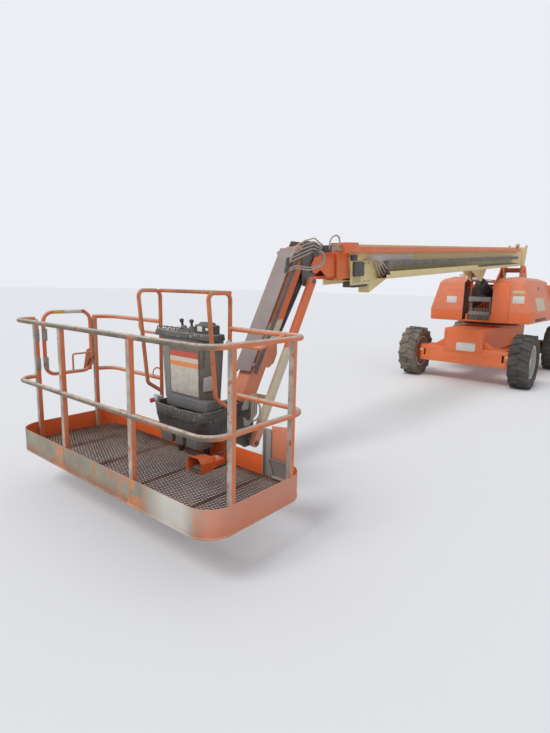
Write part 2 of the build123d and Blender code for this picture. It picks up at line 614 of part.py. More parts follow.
def jib_knuckle():
    """The head block on the boom nose, with cheeks for the jib tube and outer pins for the links."""
    x, z = JIB_PIN_X, JIB_PIN_Z
    lx, lz = LINK_PIN
    block_out = [(LEVEL_PIN_X - 62, LEVEL_PIN_Z - 30), (LEVEL_PIN_X - 62, LEVEL_PIN_Z + 60),
                 (LEVEL_PIN_X - 20, z + 95), (x + 40, z + 95), (x + 75, z + 40), (x + 75, z - 40),
                 (lx + 75, lz + 30), (lx + 60, lz - 55), (lx - 40, lz - 60)]
    head = plate_xz(block_out, -92, 92)
    gap = JIB_TUBE_W / 2 + SIDE_GAP
    head -= plate_xz([(LEVEL_PIN_X + 45, z + 200), (LEVEL_PIN_X + 45, LEVEL_PIN_Z + 20),
                      (lx - 70, lz + 60), (lx - 70, lz - 100), (x + 200, lz - 100), (x + 200, z + 200)],
                     -gap, gap)
    head -= disc_y(x, z, -gap, gap, hypot(JIB_TUBE_UP, 40) + 9)
    head -= disc_y(LEVEL_PIN_X, LEVEL_PIN_Z, -100, 100, 24 + RUNNING_GAP)
    head += disc_y(x, z, -100, 100, PIN_R)
    head += disc_y(lx, lz, -LINK_IN - LINK_W - 14, LINK_IN + LINK_W + 14, PIN_R)
    for side in (-1, 1):
        head += disc_y(lx, lz, *sorted((side * 90, side * (LINK_IN - 1))), 34)
    return head


def jib_tube():
    half = JIB_TUBE_W / 2
    tube = block(40, JIB_LENGTH - 40, -half, half, -JIB_TUBE_DOWN, JIB_TUBE_UP)
    tube -= block(80, JIB_LENGTH - 80, -half + 8, half - 8, -JIB_TUBE_DOWN + 8, JIB_TUBE_UP - 8)
    for s in (0, JIB_LENGTH):
        tube += disc_y(s, 0, -half, half, JIB_TUBE_DOWN)
        tube += block(min(s, s + (60 if s == 0 else -60)), max(s, s + (60 if s == 0 else -60)),
                      -half, half, -JIB_TUBE_DOWN, 60)
        tube -= disc_y(s, 0, -half - 1, half + 1, PIN_R + RUNNING_GAP)
    for side in (-1, 1):
        lug = plate_xz([(JIB_LUG_S - 230, -JIB_TUBE_DOWN + 10), (JIB_LUG_S - 60, JIB_LUG_W - 45),
                        (JIB_LUG_S + 40, JIB_LUG_W - 45), (JIB_LUG_S + 110, JIB_LUG_W),
                        (JIB_LUG_S + 130, -JIB_TUBE_DOWN + 10)],
                       *sorted((side * 52, side * half)))
        tube += lug
    return jib_place(tube)


def hose_cover():
    half = 132
    top = JIB_TUBE_UP + 52
    cover = plate_yz([(-half, JIB_TUBE_UP - 30), (-half, top - 30), (-half + 30, top), (half - 30, top),
                      (half, top - 30), (half, JIB_TUBE_UP - 30)], 90, JIB_LENGTH - 330)
    cover -= block(80, JIB_LENGTH, -half + 5, half - 5, JIB_TUBE_UP - 40, top - 5)
    for s in (120, JIB_LENGTH - 420):
        cover += block(s, s + 30, -half + 4, half - 4, JIB_TUBE_UP + 0.3, top - 4)
    return jib_place(cover)


def jib_link():
    bars = []
    for side in (-1, 1):
        y0, y1 = sorted((side * LINK_IN, side * (LINK_IN + LINK_W)))
        piece = block(0, JIB_LENGTH, y0, y1, -LINK_DEPTH / 2, LINK_DEPTH / 2)
        for s in (0, JIB_LENGTH):
            piece += disc_y(s, 0, y0, y1, LINK_DEPTH / 2)
        for s in (0, JIB_LENGTH):
            piece -= disc_y(s, 0, y0 - 1, y1 + 1, PIN_R + RUNNING_GAP)
        bars.append(piece)
    tie = block(LINK_TIE_S, LINK_TIE_S + 50, -LINK_IN - 1, LINK_IN + 1, -LINK_DEPTH / 2, -LINK_DEPTH / 2 + 12)
    return Pos(LINK_PIN[0], 0, LINK_PIN[1]) * Rot(0, -JIB_ANGLE, 0) * joined(bars + [tie])


def jib_lug_point(angle):
    a = radians(angle)
    return (JIB_PIN_X + JIB_LUG_S * cos(a) - JIB_LUG_W * sin(a), JIB_PIN_Z + JIB_LUG_S * sin(a) + JIB_LUG_W * cos(a))


def jib_cylinder():
    eye = Vector(jib_lug_point(JIB_ANGLE)[0], 0, jib_lug_point(JIB_ANGLE)[1])
    foot = Vector(LINK_PIN[0], 0, LINK_PIN[1])
    along = (eye - foot).normalized()
    length = (eye - foot).length
    barrel = bar(tuple(foot + along * 30), tuple(foot + along * (length - 150)), JIB_BARREL_R)
    barrel -= bar(tuple(foot + along * 70), tuple(foot + along * (length - 149)), JIB_ROD_R + RUNNING_GAP)
    barrel += disc_y(foot.X, foot.Z, -45, 45, 38)
    barrel -= disc_y(foot.X, foot.Z, -46, 46, PIN_R + RUNNING_GAP)
    rod = bar(tuple(foot + along * 80), tuple(foot + along * (length - 25)), JIB_ROD_R)
    rod += disc_y(eye.X, eye.Z, -44, 44, 35)
    return barrel, rod


def jib_support():
    """The lower head that the links keep upright, with the arm out to the rotator."""
    x, z = JIB_END
    lx, lz = LINK_END
    head = plate_xz([(x - 70, z + 60), (x + 50, z + 90), (ROTATE_X - 175, z + 90), (ROTATE_X - 175, lz + 40),
                     (lx + 60, lz - 50), (lx - 55, lz - 50), (lx - 65, lz + 40)], -92, 92)
    gap = JIB_TUBE_W / 2 + SIDE_GAP
    head -= block(x - 300, x + 110, -gap, gap, lz - 100, z + 300)
    head += disc_y(x, z, -100, 100, PIN_R)
    head += disc_y(lx, lz, -LINK_IN - LINK_W - 14, LINK_IN + LINK_W + 14, PIN_R)
    for side in (-1, 1):
        head += disc_y(lx, lz, *sorted((side * 90, side * (LINK_IN - 1))), 34)
    return head


ROTATOR_LOW = LINK_END[1] + 30
ROTATOR_HIGH = JIB_END[1] + 80


def rotator():
    body = disc_z(ROTATE_X, 0, ROTATOR_LOW, ROTATOR_HIGH, 125)
    body += block(ROTATE_X - 174.7, ROTATE_X - 60, -85, 85, ROTATOR_LOW + 20, ROTATOR_HIGH - 10)
    body += disc_z(ROTATE_X, 0, ROTATOR_LOW - 32, ROTATOR_HIGH + 32, 50)
    return body


# Platform
INNER_X = PLATFORM_X - PLATFORM_HALF_D
OUTER_X = PLATFORM_X + PLATFORM_HALF_D
RAIL_Z = FLOOR_TOP + RAIL_HEIGHT
MID_RAIL_Z = RAIL_Z - MID_RAIL_DROP


def rounded_sheet(inset, z0, z1):
    sketch = RectangleRounded(2 * (PLATFORM_HALF_D - inset), 2 * (PLATFORM_HALF_L - inset), CORNER_R - inset)
    return extrude(Pos(PLATFORM_X, 0, z0) * sketch, amount=z1 - z0)


def toe_board():
    board = rounded_sheet(0, TOE_LOW, TOE_LOW + TOE_HEIGHT) - rounded_sheet(5, TOE_LOW - 1, TOE_LOW + TOE_HEIGHT + 1)
    return board


NEAR_POSTS = (-425, 485)


def platform_frame():
    frame = toe_board()
    x_out = OUTER_X - 5 - POST / 2
    y_end = PLATFORM_HALF_L - 5 - POST / 2
    posts = [(x_out, y) for y in NEAR_POSTS]
    posts += [(x, side * y_end) for x in (OUTER_X - NEAR_CORNER, INNER_X + CORNER_R) for side in (-1, 1)]
    for x, y in posts:
        frame += block(x - POST / 2, x + POST / 2, y - POST / 2, y + POST / 2, FLOOR_TOP + RUNNING_GAP, RAIL_Z - 10)
    rx, ry = OUTER_X - 2 - RAIL_R, PLATFORM_HALF_L - 2 - RAIL_R
    ix = INNER_X + 2 + RAIL_R
    bend = CORNER_R - 50
    right, left = GUARD_Y
    for z in (RAIL_Z, MID_RAIL_Z):
        frame += bent_tube([(OUTER_X - NEAR_CORNER, -ry, z), (rx, -ry, z), (rx, ry, z), (ix, ry, z),
                            (ix, left - 8, z)], bend, RAIL_R)
        frame += bent_tube([(INNER_X + CORNER_R + 10, -ry, z), (ix, -ry, z), (ix, right + 8, z)], bend, RAIL_R)
    guard_z = RAIL_Z + GUARD_RISE
    frame += bar((ix, right, guard_z - 1), (ix, left, guard_z - 1), RAIL_R - 3)
    for y in GUARD_Y:
        frame += bent_tube([(ix, y, TOE_LOW + TOE_HEIGHT - 20), (ix, y, guard_z), (ix + GUARD_REACH, y, guard_z),
                            (ix + GUARD_REACH - 90, y, FLOOR_TOP + 520)], 55, RAIL_R - 2)
    hinge_x, hinge_y = GATE_PIN
    for z in (MID_RAIL_Z + 130, RAIL_Z - 120):
        sleeve = disc_z(hinge_x, hinge_y, z, z + 60, 25)
        sleeve += block(hinge_x, OUTER_X - NEAR_CORNER - POST / 2 + 1, hinge_y - 5, hinge_y + 5, z, z + 60)
        frame += sleeve - disc_z(hinge_x, hinge_y, z - 1, z + 61, GATE_R + RUNNING_GAP)
    return frame


def platform_bracket():
    """Two plates round the rotator's shaft, on a back plate bolted to the toe board."""
    low, high = ROTATOR_LOW - 30, ROTATOR_HIGH + 8
    bracket = block(INNER_X - 20, INNER_X, -110, 110, low, high + 22)
    for z in (low, high):
        plate = block(ROTATE_X, INNER_X - 19, -110, 110, z, z + 22) + disc_z(ROTATE_X, 0, z, z + 22, 110)
        bracket += plate - disc_z(ROTATE_X, 0, z - 1, z + 23, 50 + RUNNING_GAP)
    return bracket


def platform_floor():
    return rounded_sheet(5.3, FLOOR_TOP - 30, FLOOR_TOP)


CONSOLE_Y = (GUARD_Y[0] + GUARD_Y[1]) / 2 + 80


def console():
    x0, y = INNER_X + 60, CONSOLE_Y
    body = plate_xz([(x0, FLOOR_TOP + 447), (x0 + 115, FLOOR_TOP + 447), (x0 + 135, FLOOR_TOP + 560),
                     (x0 + 115, RAIL_Z - 94), (x0, RAIL_Z - 94)], y - 240, y + 240)
    top = block(x0 - 20, x0 + 140, y - 385, y + 335, RAIL_Z - 95, RAIL_Z - 45)
    controls = block(x0, x0 + 125, y + 110, y + 320, RAIL_Z - 46, RAIL_Z + 45)
    tray = block(x0, x0 + 237, y - 325, y + 325, FLOOR_TOP + 360, FLOOR_TOP + 448)
    foot = block(x0 + 15, x0 + 165, y - 200, y + 200, FLOOR_TOP + 0.3, FLOOR_TOP + 361)
    return joined([body, top, controls, tray, foot])


def foot_switch():
    x, y = INNER_X + 217, CONSOLE_Y + 313
    guard = block(x - 145, x + 145, y - 85, y + 85, FLOOR_TOP + 0.3, FLOOR_TOP + 125)
    guard -= block(x - 20, x + 150, y - 72, y + 72, FLOOR_TOP + 18, FLOOR_TOP + 110)
    return guard


GATE_R = 17
GATE_PIN = (OUTER_X - NEAR_CORNER - 70, -(PLATFORM_HALF_L - 5 - POST / 2))


def gate():
    px, py = GATE_PIN
    x0, x1 = INNER_X + CORNER_R + POST / 2 + 25, px
    z0, z1 = MID_RAIL_Z, RAIL_Z + 55
    middle = (z0 + z1) / 2
    upper = bent_tube([(x1, py, middle), (x1, py, z1), (x0, py, z1), (x0, py, middle)], 90, GATE_R)
    lower = bent_tube([(x1, py, middle), (x1, py, z0), (x0, py, z0), (x0, py, middle)], 90, GATE_R)
    return upper + lower


def export(name, shape):
    export_step(Pos(-MID_X, 0, 0) * shape, f"parts/{name}.step")


def main():
    os.makedirs("parts", exist_ok=True)
    tyre_piece, rim_piece = tyre(), rim()
    for axle, x in (("fixed", AXLE_X), ("steer", -AXLE_X)):
        for name, side in (("left", 1), ("right", -1)):
            export(f"tyre_{axle}_{name}", wheel_at(tyre_piece, x, side))
            export(f"rim_{axle}_{name}", wheel_at(rim_piece, x, side))
    export("chassis_frame", chassis_frame())
    export("axle_fixed", axle_fixed())
    export("axle_steer", axle_steer())
    export("knuckle_left", knuckle())
    export("knuckle_right", mirrored_y(knuckle()))
    export("tie_rod", tie_rod())
    export("swing_bearing", swing_bearing())
    export("turntable_frame", turntable_frame())
    export("counterweight", counterweight())
    export("hood_left", hood_left())
    export("hood_right", hood_right())
    export("front_panel", front_panel())
    export("engine", engine())
    export("fuel_tank", fuel_tank())
    export("valve_bank", valve_bank())
    export("boom_base", boom_base())
    export("boom_mid", boom_mid())
    export("boom_fly", boom_fly())
    export("push_tube", push_tube())
    export("track_tray", track_tray())
    export("power_track", power_track())
    lift_barrel, lift_rod = lift_cylinder()
    export("lift_barrel", lift_barrel)
    export("lift_rod", lift_rod)
    export("jib_knuckle", jib_knuckle())
    export("jib_tube", jib_tube())
    export("hose_cover", hose_cover())
    export("jib_link", jib_link())
    jib_barrel, jib_rod = jib_cylinder()
    export("jib_barrel", jib_barrel)
    export("jib_rod", jib_rod)
    export("jib_support", jib_support())
    export("rotator", rotator())
    export("platform_frame", platform_frame())
    export("platform_bracket", platform_bracket())
    export("platform_floor", platform_floor())
    export("console", console())
    export("foot_switch", foot_switch())
    export("gate", gate())


main()
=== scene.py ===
"""Telescopic boom lift with a jib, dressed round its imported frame. Metres, +Z up, +X towards the platform."""
import json
from contextlib import contextmanager
from math import asin, cos, degrees, pi, radians, sin, sqrt, tan

import bmesh
import bpy
from mathutils import Matrix, Vector
from mathutils.bvhtree import BVHTree


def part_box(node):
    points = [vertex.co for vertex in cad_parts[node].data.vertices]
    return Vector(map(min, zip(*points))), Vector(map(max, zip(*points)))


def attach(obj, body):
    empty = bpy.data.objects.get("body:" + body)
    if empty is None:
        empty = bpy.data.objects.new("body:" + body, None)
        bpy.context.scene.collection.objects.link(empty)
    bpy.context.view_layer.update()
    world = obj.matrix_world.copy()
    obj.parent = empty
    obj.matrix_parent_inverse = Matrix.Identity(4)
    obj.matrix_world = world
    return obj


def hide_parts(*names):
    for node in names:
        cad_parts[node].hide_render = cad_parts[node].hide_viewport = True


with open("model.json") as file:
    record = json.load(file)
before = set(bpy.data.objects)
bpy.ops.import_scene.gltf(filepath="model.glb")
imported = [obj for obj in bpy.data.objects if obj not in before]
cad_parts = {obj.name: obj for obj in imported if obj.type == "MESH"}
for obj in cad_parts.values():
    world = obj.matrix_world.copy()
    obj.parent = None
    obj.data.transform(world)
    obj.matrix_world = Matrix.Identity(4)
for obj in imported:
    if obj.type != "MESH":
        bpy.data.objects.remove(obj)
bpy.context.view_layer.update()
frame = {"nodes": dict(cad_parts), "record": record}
nodes = frame["nodes"]
BODY_OF = {node: body for body, held in frame["record"]["behaviour"]["bodies"].items() for node in held}
SLOT_OF = {row["node"]: row["material_slot"] for row in frame["record"]["subparts"]}


# Studio: a pale floor that runs out to a pale backdrop, lit by an even sky and one broad soft
# lamp from the left and behind the camera, as under a bright overcast.
def feed(tree, socket, value):
    """An input joined to another node's output, or given a value (a colour goes without its alpha)."""
    if isinstance(value, bpy.types.NodeSocket):
        tree.links.new(value, socket)
    else:
        socket.default_value = (*value, 1) if socket.type == "RGBA" else value


def add_node(tree, kind, settings=(), **inputs):
    """A shader node with its settings, and its inputs by name or, as _0, by number."""
    made = tree.nodes.new("ShaderNode" + kind)
    for name, value in dict(settings).items():
        setattr(made, name, value)
    for name, value in inputs.items():
        feed(tree, made.inputs[int(name[1:]) if name[1:].isdigit() else name.replace("_", " ")], value)
    return made


scene = bpy.context.scene
scene.view_settings.view_transform = "Standard"

CAMERA_PLACE = Vector((7.767, 3.104, 1.832))
CAMERA_YAW, CAMERA_PITCH, CAMERA_ROLL = 3.83206, 0.16965, 0.02361
camera_data = bpy.data.cameras.new("camera")
camera_data.sensor_fit = "VERTICAL"
camera_data.sensor_height = 36
camera_data.lens = 23.18
camera_data.clip_end = 500
camera = bpy.data.objects.new("camera", camera_data)
ahead = Vector((cos(CAMERA_YAW) * cos(CAMERA_PITCH), sin(CAMERA_YAW) * cos(CAMERA_PITCH), -sin(CAMERA_PITCH)))
level = ahead.cross(Vector((0, 0, 1))).normalized()
across = cos(CAMERA_ROLL) * level + sin(CAMERA_ROLL) * level.cross(ahead)
turned = Matrix((across, across.cross(ahead), -ahead)).transposed().to_4x4()
camera.matrix_world = Matrix.Translation(CAMERA_PLACE) @ turned
scene.collection.objects.link(camera)
scene.camera = camera

world = bpy.data.worlds.new("sky")
scene.world = world
world.use_nodes = True
sky = world.node_tree
seen = add_node(sky, "LightPath").outputs
either = add_node(sky, "Math", {"operation": "MAXIMUM"}, _0=seen["Is Camera Ray"], _1=seen["Is Glossy Ray"])
strength = add_node(sky, "MapRange", Value=either.outputs[0], To_Min=0.62, To_Max=0.9)
feed(sky, sky.nodes["Background"].inputs["Strength"], strength.outputs[0])
feed(sky, sky.nodes["Background"].inputs["Color"], (0.93, 0.95, 1.0))

lamp_data = bpy.data.lights.new("broad_lamp", "SUN")
lamp_data.energy = 1.5
lamp_data.angle = radians(25)
lamp = bpy.data.objects.new("broad_lamp", lamp_data)
lamp.rotation_euler = (radians(38), radians(12), radians(70))
scene.collection.objects.link(lamp)


class Paint:
    """A material being mixed: its masks and colours are sockets, and done() joins them to its surface."""

    def __init__(self, name):
        self.material = bpy.data.materials.new(name)
        self.material.use_nodes = True
        self.tree = self.material.node_tree

    def place(self, axis, source="Object"):
        coordinates = add_node(self.tree, "TexCoord").outputs[source]
        return add_node(self.tree, "SeparateXYZ", Vector=coordinates).outputs[axis]

    def ranged(self, value, low, high):
        return add_node(self.tree, "MapRange", Value=value, From_Min=low, From_Max=high).outputs[0]

    def patches(self, scale, low, high, stretch=(1, 1, 1), detail=8, rough=0.6):
        """A mask of uneven patches: 0 where the noise is under low, 1 where it is over high."""
        coordinates = add_node(self.tree, "TexCoord").outputs["Object"]
        mapped = add_node(self.tree, "Mapping", Vector=coordinates, Scale=stretch).outputs[0]
        noise = add_node(self.tree, "TexNoise", Vector=mapped, Scale=scale, Detail=detail, Roughness=rough)
        return self.ranged(noise.outputs[0], low, high)

    def along(self, axis, low, high):
        """A mask that runs from 0 at one place along an axis to 1 at another."""
        return self.ranged(self.place(axis), low, high)

    def facing(self, axis="Z", low=0.2, high=0.95):
        """A mask that is 1 on the faces that look along an axis."""
        return self.ranged(self.place(axis, "Normal"), low, high)

    def combined(self, operation, a, b):
        return add_node(self.tree, "Math", {"operation": operation}, _0=a, _1=b).outputs[0]

    def times(self, a, b, *more):
        product = self.combined("MULTIPLY", a, b)
        return self.times(product, *more) if more else product

    def over(self, mask, under, over):
        """One colour laid over another where the mask is 1."""
        return add_node(self.tree, "Mix", {"data_type": "RGBA"}, _0=mask, _6=under, _7=over).outputs[2]

    def wander(self, low, high, scale=11, full=0.75):
        """A value that wanders in patches between two."""
        mask = self.patches(scale, 0.3, full)
        return add_node(self.tree, "MapRange", Value=mask, To_Min=low, To_Max=high).outputs[0]

    def done(self, colour, roughness, relief=None, metal=0.0):
        """The material, with a relief of a height and its distance."""
        surface = self.tree.nodes["Principled BSDF"].inputs
        for name, value in (("Base Color", colour), ("Roughness", roughness), ("Metallic", metal)):
            feed(self.tree, surface[name], value)
        if relief:
            feed(self.tree, surface["Normal"], add_node(self.tree, "Bump", Height=relief[0],
                    Distance=relief[1]).outputs[0])
        return self.material


bpy.ops.mesh.primitive_plane_add(size=240, location=(0, 0, -0.001))
floor = bpy.context.object
floor.name = "studio_floor"
floor.data.materials.append(Paint("studio_floor").done((0.8, 0.81, 0.82), 0.85))


# Wheels: foam-filled tyres with chevron lugs, moulded rubber under a skin of yard dust, on pressed
# steel rims in pale paint, each bolted to its hub with nine nuts.
def dusty_rubber(name, dust, amount):
    paint = Paint(name)
    bare = paint.over(paint.patches(9, 0.35, 0.7), (0.022, 0.022, 0.023), (0.05, 0.048, 0.045))
    film = paint.times(paint.patches(3.5, 0.25, 0.75), amount)
    return paint.done(paint.over(film, bare, dust), 0.88, (paint.patches(120, 0.3, 0.7), 0.002))


def shade(colour, share):
    return [value * share for value in colour]


def worn_paint(name, colour, faded, under, fade=0.5, chips=0.62, dust=0.25, gloss=0.42,
        dust_colour=(0.36, 0.33, 0.29), overcoats_and_painted_shade=()):
    """Paint that has chalked in patches, chipped to what is under it, and holds dust on top.

    An overcoat is another colour, with an uneven edge, from one place along an axis to another; on the
    faces that look along an axis it is painted shade."""
    paint = Paint(name)
    coat = paint.over(paint.times(paint.patches(1.6, 0.3, 0.75), fade), colour, faded)
    coat = paint.over(paint.times(paint.patches(14, 0.45, 0.8), 0.35), coat, shade(colour, 0.72))
    # An overcoat laid on the faces that look along an axis is painted shade, not paint.
    for axis, start, end, other in overcoats_and_painted_shade:
        reach = paint.facing(axis[-1], start, end) if len(axis) > 1 else paint.along(axis, start, end)
        uneven = paint.combined("ADD", reach, paint.combined("SUBTRACT", paint.patches(5, 0.2, 0.8), 0.5))
        coat = paint.over(paint.ranged(uneven, 0.4, 0.6), coat, paint.over(paint.patches(7, 0.4, 0.75), other,
                shade(other, 0.82)))
    chip = paint.patches(26, chips, chips + 0.035, detail=10, rough=0.7)
    coat = paint.over(chip, coat, under)
    grime = paint.times(paint.facing(), paint.patches(6, 0.3, 0.7), dust * 2)
    film = paint.times(paint.patches(2.3, 0.35, 0.8, (1, 1, 2.5)), dust)
    coat = paint.over(film, paint.over(grime, coat, dust_colour), dust_colour)
    relief = paint.combined("SUBTRACT", paint.patches(70, 0.3, 0.7), chip)
    return paint.done(coat, paint.wander(gloss, gloss + 0.28), (relief, 0.0006))


def take_all():
    bpy.ops.mesh.select_all(action="SELECT")


def push(step):
    """What is selected, run out by one step as a sheet or a bar is drawn."""
    bpy.ops.mesh.extrude_region_move(TRANSFORM_OT_translate={"value": step})


def hollow():
    """The outline kept and its flat face taken away."""
    bpy.ops.mesh.delete(type="ONLY_FACE")
    take_all()


def break_edges(edge, segments=2):
    take_all()
    bpy.ops.mesh.normals_make_consistent(inside=False)
    bpy.ops.mesh.bevel(offset=edge, segments=segments, affect="EDGES")


@contextmanager
def open_mesh(piece):
    """The mesh of a piece that is open for shaping, written back afterwards."""
    mesh = bmesh.from_edit_mesh(piece.data)
    yield mesh
    bmesh.update_edit_mesh(piece.data)


def move_picked(piece, moved):
    """Every selected corner moved to where a function sends it."""
    with open_mesh(piece) as mesh:
        for corner in [v for v in mesh.verts if v.select]:
            corner.co = moved(corner.co)


def pick_faces(piece, wanted):
    with open_mesh(piece) as mesh:
        for face in mesh.faces:
            face.select = wanted(face)


def start_shape(name, adder, **settings):
    """A primitive at its size and place, open for shaping, with everything on it selected."""
    bpy.ops.object.select_all(action="DESELECT")
    adder(**settings)
    piece = bpy.context.object
    piece.name = name
    piece.data.name = name
    bpy.ops.object.transform_apply(location=True, rotation=True, scale=True)
    bpy.ops.object.mode_set(mode="EDIT")
    take_all()
    return piece


def end_shape(piece, smooth=38):
    take_all()
    bpy.ops.mesh.remove_doubles(threshold=0.00002)
    bpy.ops.mesh.normals_make_consistent(inside=False)
    bpy.ops.object.mode_set(mode="OBJECT")
    bpy.ops.object.shade_smooth_by_angle(angle=radians(smooth))
    return piece


def apply_modifier(piece, kind, **settings):
    modifier = piece.modifiers.new(kind, kind)
    for name, value in settings.items():
        setattr(modifier, name, value)
    bpy.ops.object.modifier_apply(modifier=modifier.name)


def outline_shape(name, points):
    """A flat ring with its corners moved to the outline's, open for shaping."""
    ring = start_shape(name, bpy.ops.mesh.primitive_circle_add, vertices=len(points), fill_type="NGON")
    with open_mesh(ring) as mesh:
        for corner, place in zip(sorted(mesh.verts, key=lambda v: v.index), points):
            corner.co = place
    return ring


def plate(name, points, through, edge=0.002, segments=2):
    """A flat plate: its outline drawn, run through its thickness, and its edges broken."""
    piece = outline_shape(name, points)
    push(through)
    break_edges(edge, segments)
    return end_shape(piece)


def edged_box(name, low, high, edge=0.003, segments=2):
    """A box with its edges broken, as folded or cut metal has them."""
    low, high = Vector(low), Vector(high)
    box = start_shape(name, bpy.ops.mesh.primitive_cube_add, size=1, location=(low + high) / 2,
        scale=high - low)
    bpy.ops.mesh.bevel(offset=edge, segments=segments, affect="EDGES")
    return end_shape(box)


def turned_shape(name, outline, centre, axis, steps=64):
    """A closed outline of (radius, place) pairs spun round an axis through the centre."""
    centre, axis = Vector(centre), Vector(axis).normalized()
    out = axis.orthogonal().normalized()
    piece = outline_shape(name, [centre + out * radius + axis * place for radius, place in outline])
    hollow()
    bpy.ops.mesh.spin(steps=steps, angle=2 * pi, center=centre, axis=axis)
    return end_shape(piece, smooth=32)


def rod(name, start, end, radius, sides=24, edge=0.0015):
    """A round bar or pin between two points, its end edges broken."""
    start, end = Vector(start), Vector(end)
    bar = start_shape(name, bpy.ops.mesh.primitive_cylinder_add, vertices=sides, radius=radius,
        depth=(end - start).length, location=(start + end) / 2, rotation=(end - start).to_track_quat("Z",
            "Y").to_euler())
    with open_mesh(bar) as mesh:
        for cut in mesh.edges:
            cut.select = any(len(face.verts) > 4 for face in cut.link_faces)
    bpy.ops.mesh.bevel(offset=min(edge, radius * 0.3), segments=2, affect="EDGES")
    return end_shape(bar)


def studs(places, step, radius, sides=6, edge=0.001):
    """A short rod, six-sided as a bolt's head unless told otherwise, at each place."""
    return [rod("stud", place, Vector(place) + Vector(step), radius, sides, edge) for place in places]


def put_in_scene(name, mesh):
    piece = bpy.data.objects.new(name, mesh)
    scene.collection.objects.link(piece)
    return piece


def only_active(piece):
    bpy.ops.object.select_all(action="DESELECT")
    piece.select_set(True)
    bpy.context.view_layer.objects.active = piece


def joined(name, pieces):
    only_active(pieces[0])
    for piece in pieces:
        piece.select_set(True)
    bpy.ops.object.join()
    whole = bpy.context.object
    whole.name = name
    whole.data.name = name
    return whole


def finish_piece(piece, material, body, slot, *stands_for):
    piece.data.materials.clear()
    piece.data.materials.append(material)
    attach(piece, body)
    if stands_for:
        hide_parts(*stands_for)
    return piece


def finish_group(name, pieces, *rest):
    return finish_piece(joined(name, pieces), *rest)


def softened(node, material, edge=0.004, segments=2):
    """A node's own shape with its flats made whole and its sharp edges broken, standing for it."""
    piece = put_in_scene(node + "_finished", nodes[node].data.copy())
    only_active(piece)
    bpy.ops.object.mode_set(mode="EDIT")
    take_all()
    bpy.ops.mesh.remove_doubles(threshold=0.00002)
    bpy.ops.mesh.dissolve_limited(angle_limit=radians(0.6))
    bpy.ops.object.mode_set(mode="OBJECT")
    apply_modifier(piece, "BEVEL", width=edge, segments=segments, limit_method="ANGLE",
        angle_limit=radians(28))
    bpy.ops.object.shade_smooth_by_angle(angle=radians(35))
    return finish_piece(piece, material, BODY_OF[node], SLOT_OF[node], node)


def there_and_back(half):
    """Half an outline of (radius, place) pairs, and its mirror image run backwards."""
    return half + [(radius, -place) for radius, place in reversed(half)]


tyre_low, tyre_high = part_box("tyre_fixed_left")
TYRE_R = (tyre_high.z - tyre_low.z) / 2
RIM_R, LUG_TALL, LUG_COUNT, NUT_COUNT = 0.31, 0.032, 15, 9
TREAD_R = TYRE_R - LUG_TALL
CARCASS = there_and_back([(RIM_R + 0.001, -0.127), (RIM_R + 0.012, -0.139), (RIM_R + 0.05, -0.168),
        (0.4, -0.183), (TREAD_R - 0.045, -0.183), (TREAD_R - 0.012, -0.17), (TREAD_R, -0.15)])
RIM = there_and_back([(RIM_R - 0.014, -0.1445), (RIM_R + 0.01, -0.1445), (RIM_R + 0.01, -0.139),
        (RIM_R, -0.136), (RIM_R, -0.05), (RIM_R - 0.03, -0.035)])
RIM += there_and_back([(RIM_R - 0.014, 0.06), (RIM_R - 0.044, 0.04)])
DISH = [(0.055, 0.046), (0.172, 0.046), (0.188, 0.03), (0.268, -0.004), (0.27, 0.008), (0.196, 0.046),
    (0.184, 0.06), (0.055, 0.06)]
HUB = [(0.056, -0.06), (0.128, -0.06), (0.128, 0.086), (0.122, 0.092), (0.094, 0.096), (0.088, 0.108),
    (0.07, 0.112), (0.0005, 0.112), (0.0005, 0.034), (0.056, 0.034)]


def lugged_tyre(name, centre):
    """A carcass spun from its section, with two rows of swept lugs run out over its shoulders."""
    pieces = [turned_shape(name, CARCASS, centre, (0, 1, 0), steps=60)]
    for row, phase in ((-1, 0), (1, 0.5)):
        root = TREAD_R - 0.02
        lug = outline_shape(name + "_lug", [(-0.031, row * -0.012, root), (0.031, row * -0.012, root),
                (0.099, row * 0.184, root - 0.035), (0.034, row * 0.184, root - 0.035)])
        push((0, 0, LUG_TALL + 0.018))
        with open_mesh(lug) as mesh:
            for corner in mesh.verts:
                if corner.co.z > TREAD_R:
                    corner.co.z = sqrt((TYRE_R - 0.001) ** 2 - corner.co.x ** 2)
                elif abs(corner.co.y) > 0.1 and corner.select:
                    corner.co.z = sqrt((TYRE_R - 0.004) ** 2 - corner.co.x ** 2)
                    corner.co.y = row * 0.172
        break_edges(0.005)
        end_shape(lug)
        for step in range(LUG_COUNT):
            copy = put_in_scene(lug.name, lug.data.copy())
            turn = 2 * pi / LUG_COUNT * (step + phase) - asin(0.099 / TYRE_R)
            copy.data.transform(Matrix.Translation(centre) @ Matrix.Rotation(turn, 4, "Y"))
            pieces.append(copy)
        bpy.data.objects.remove(lug)
    tyre = joined(name, pieces)
    bpy.ops.object.shade_smooth_by_angle(angle=radians(32))
    return tyre


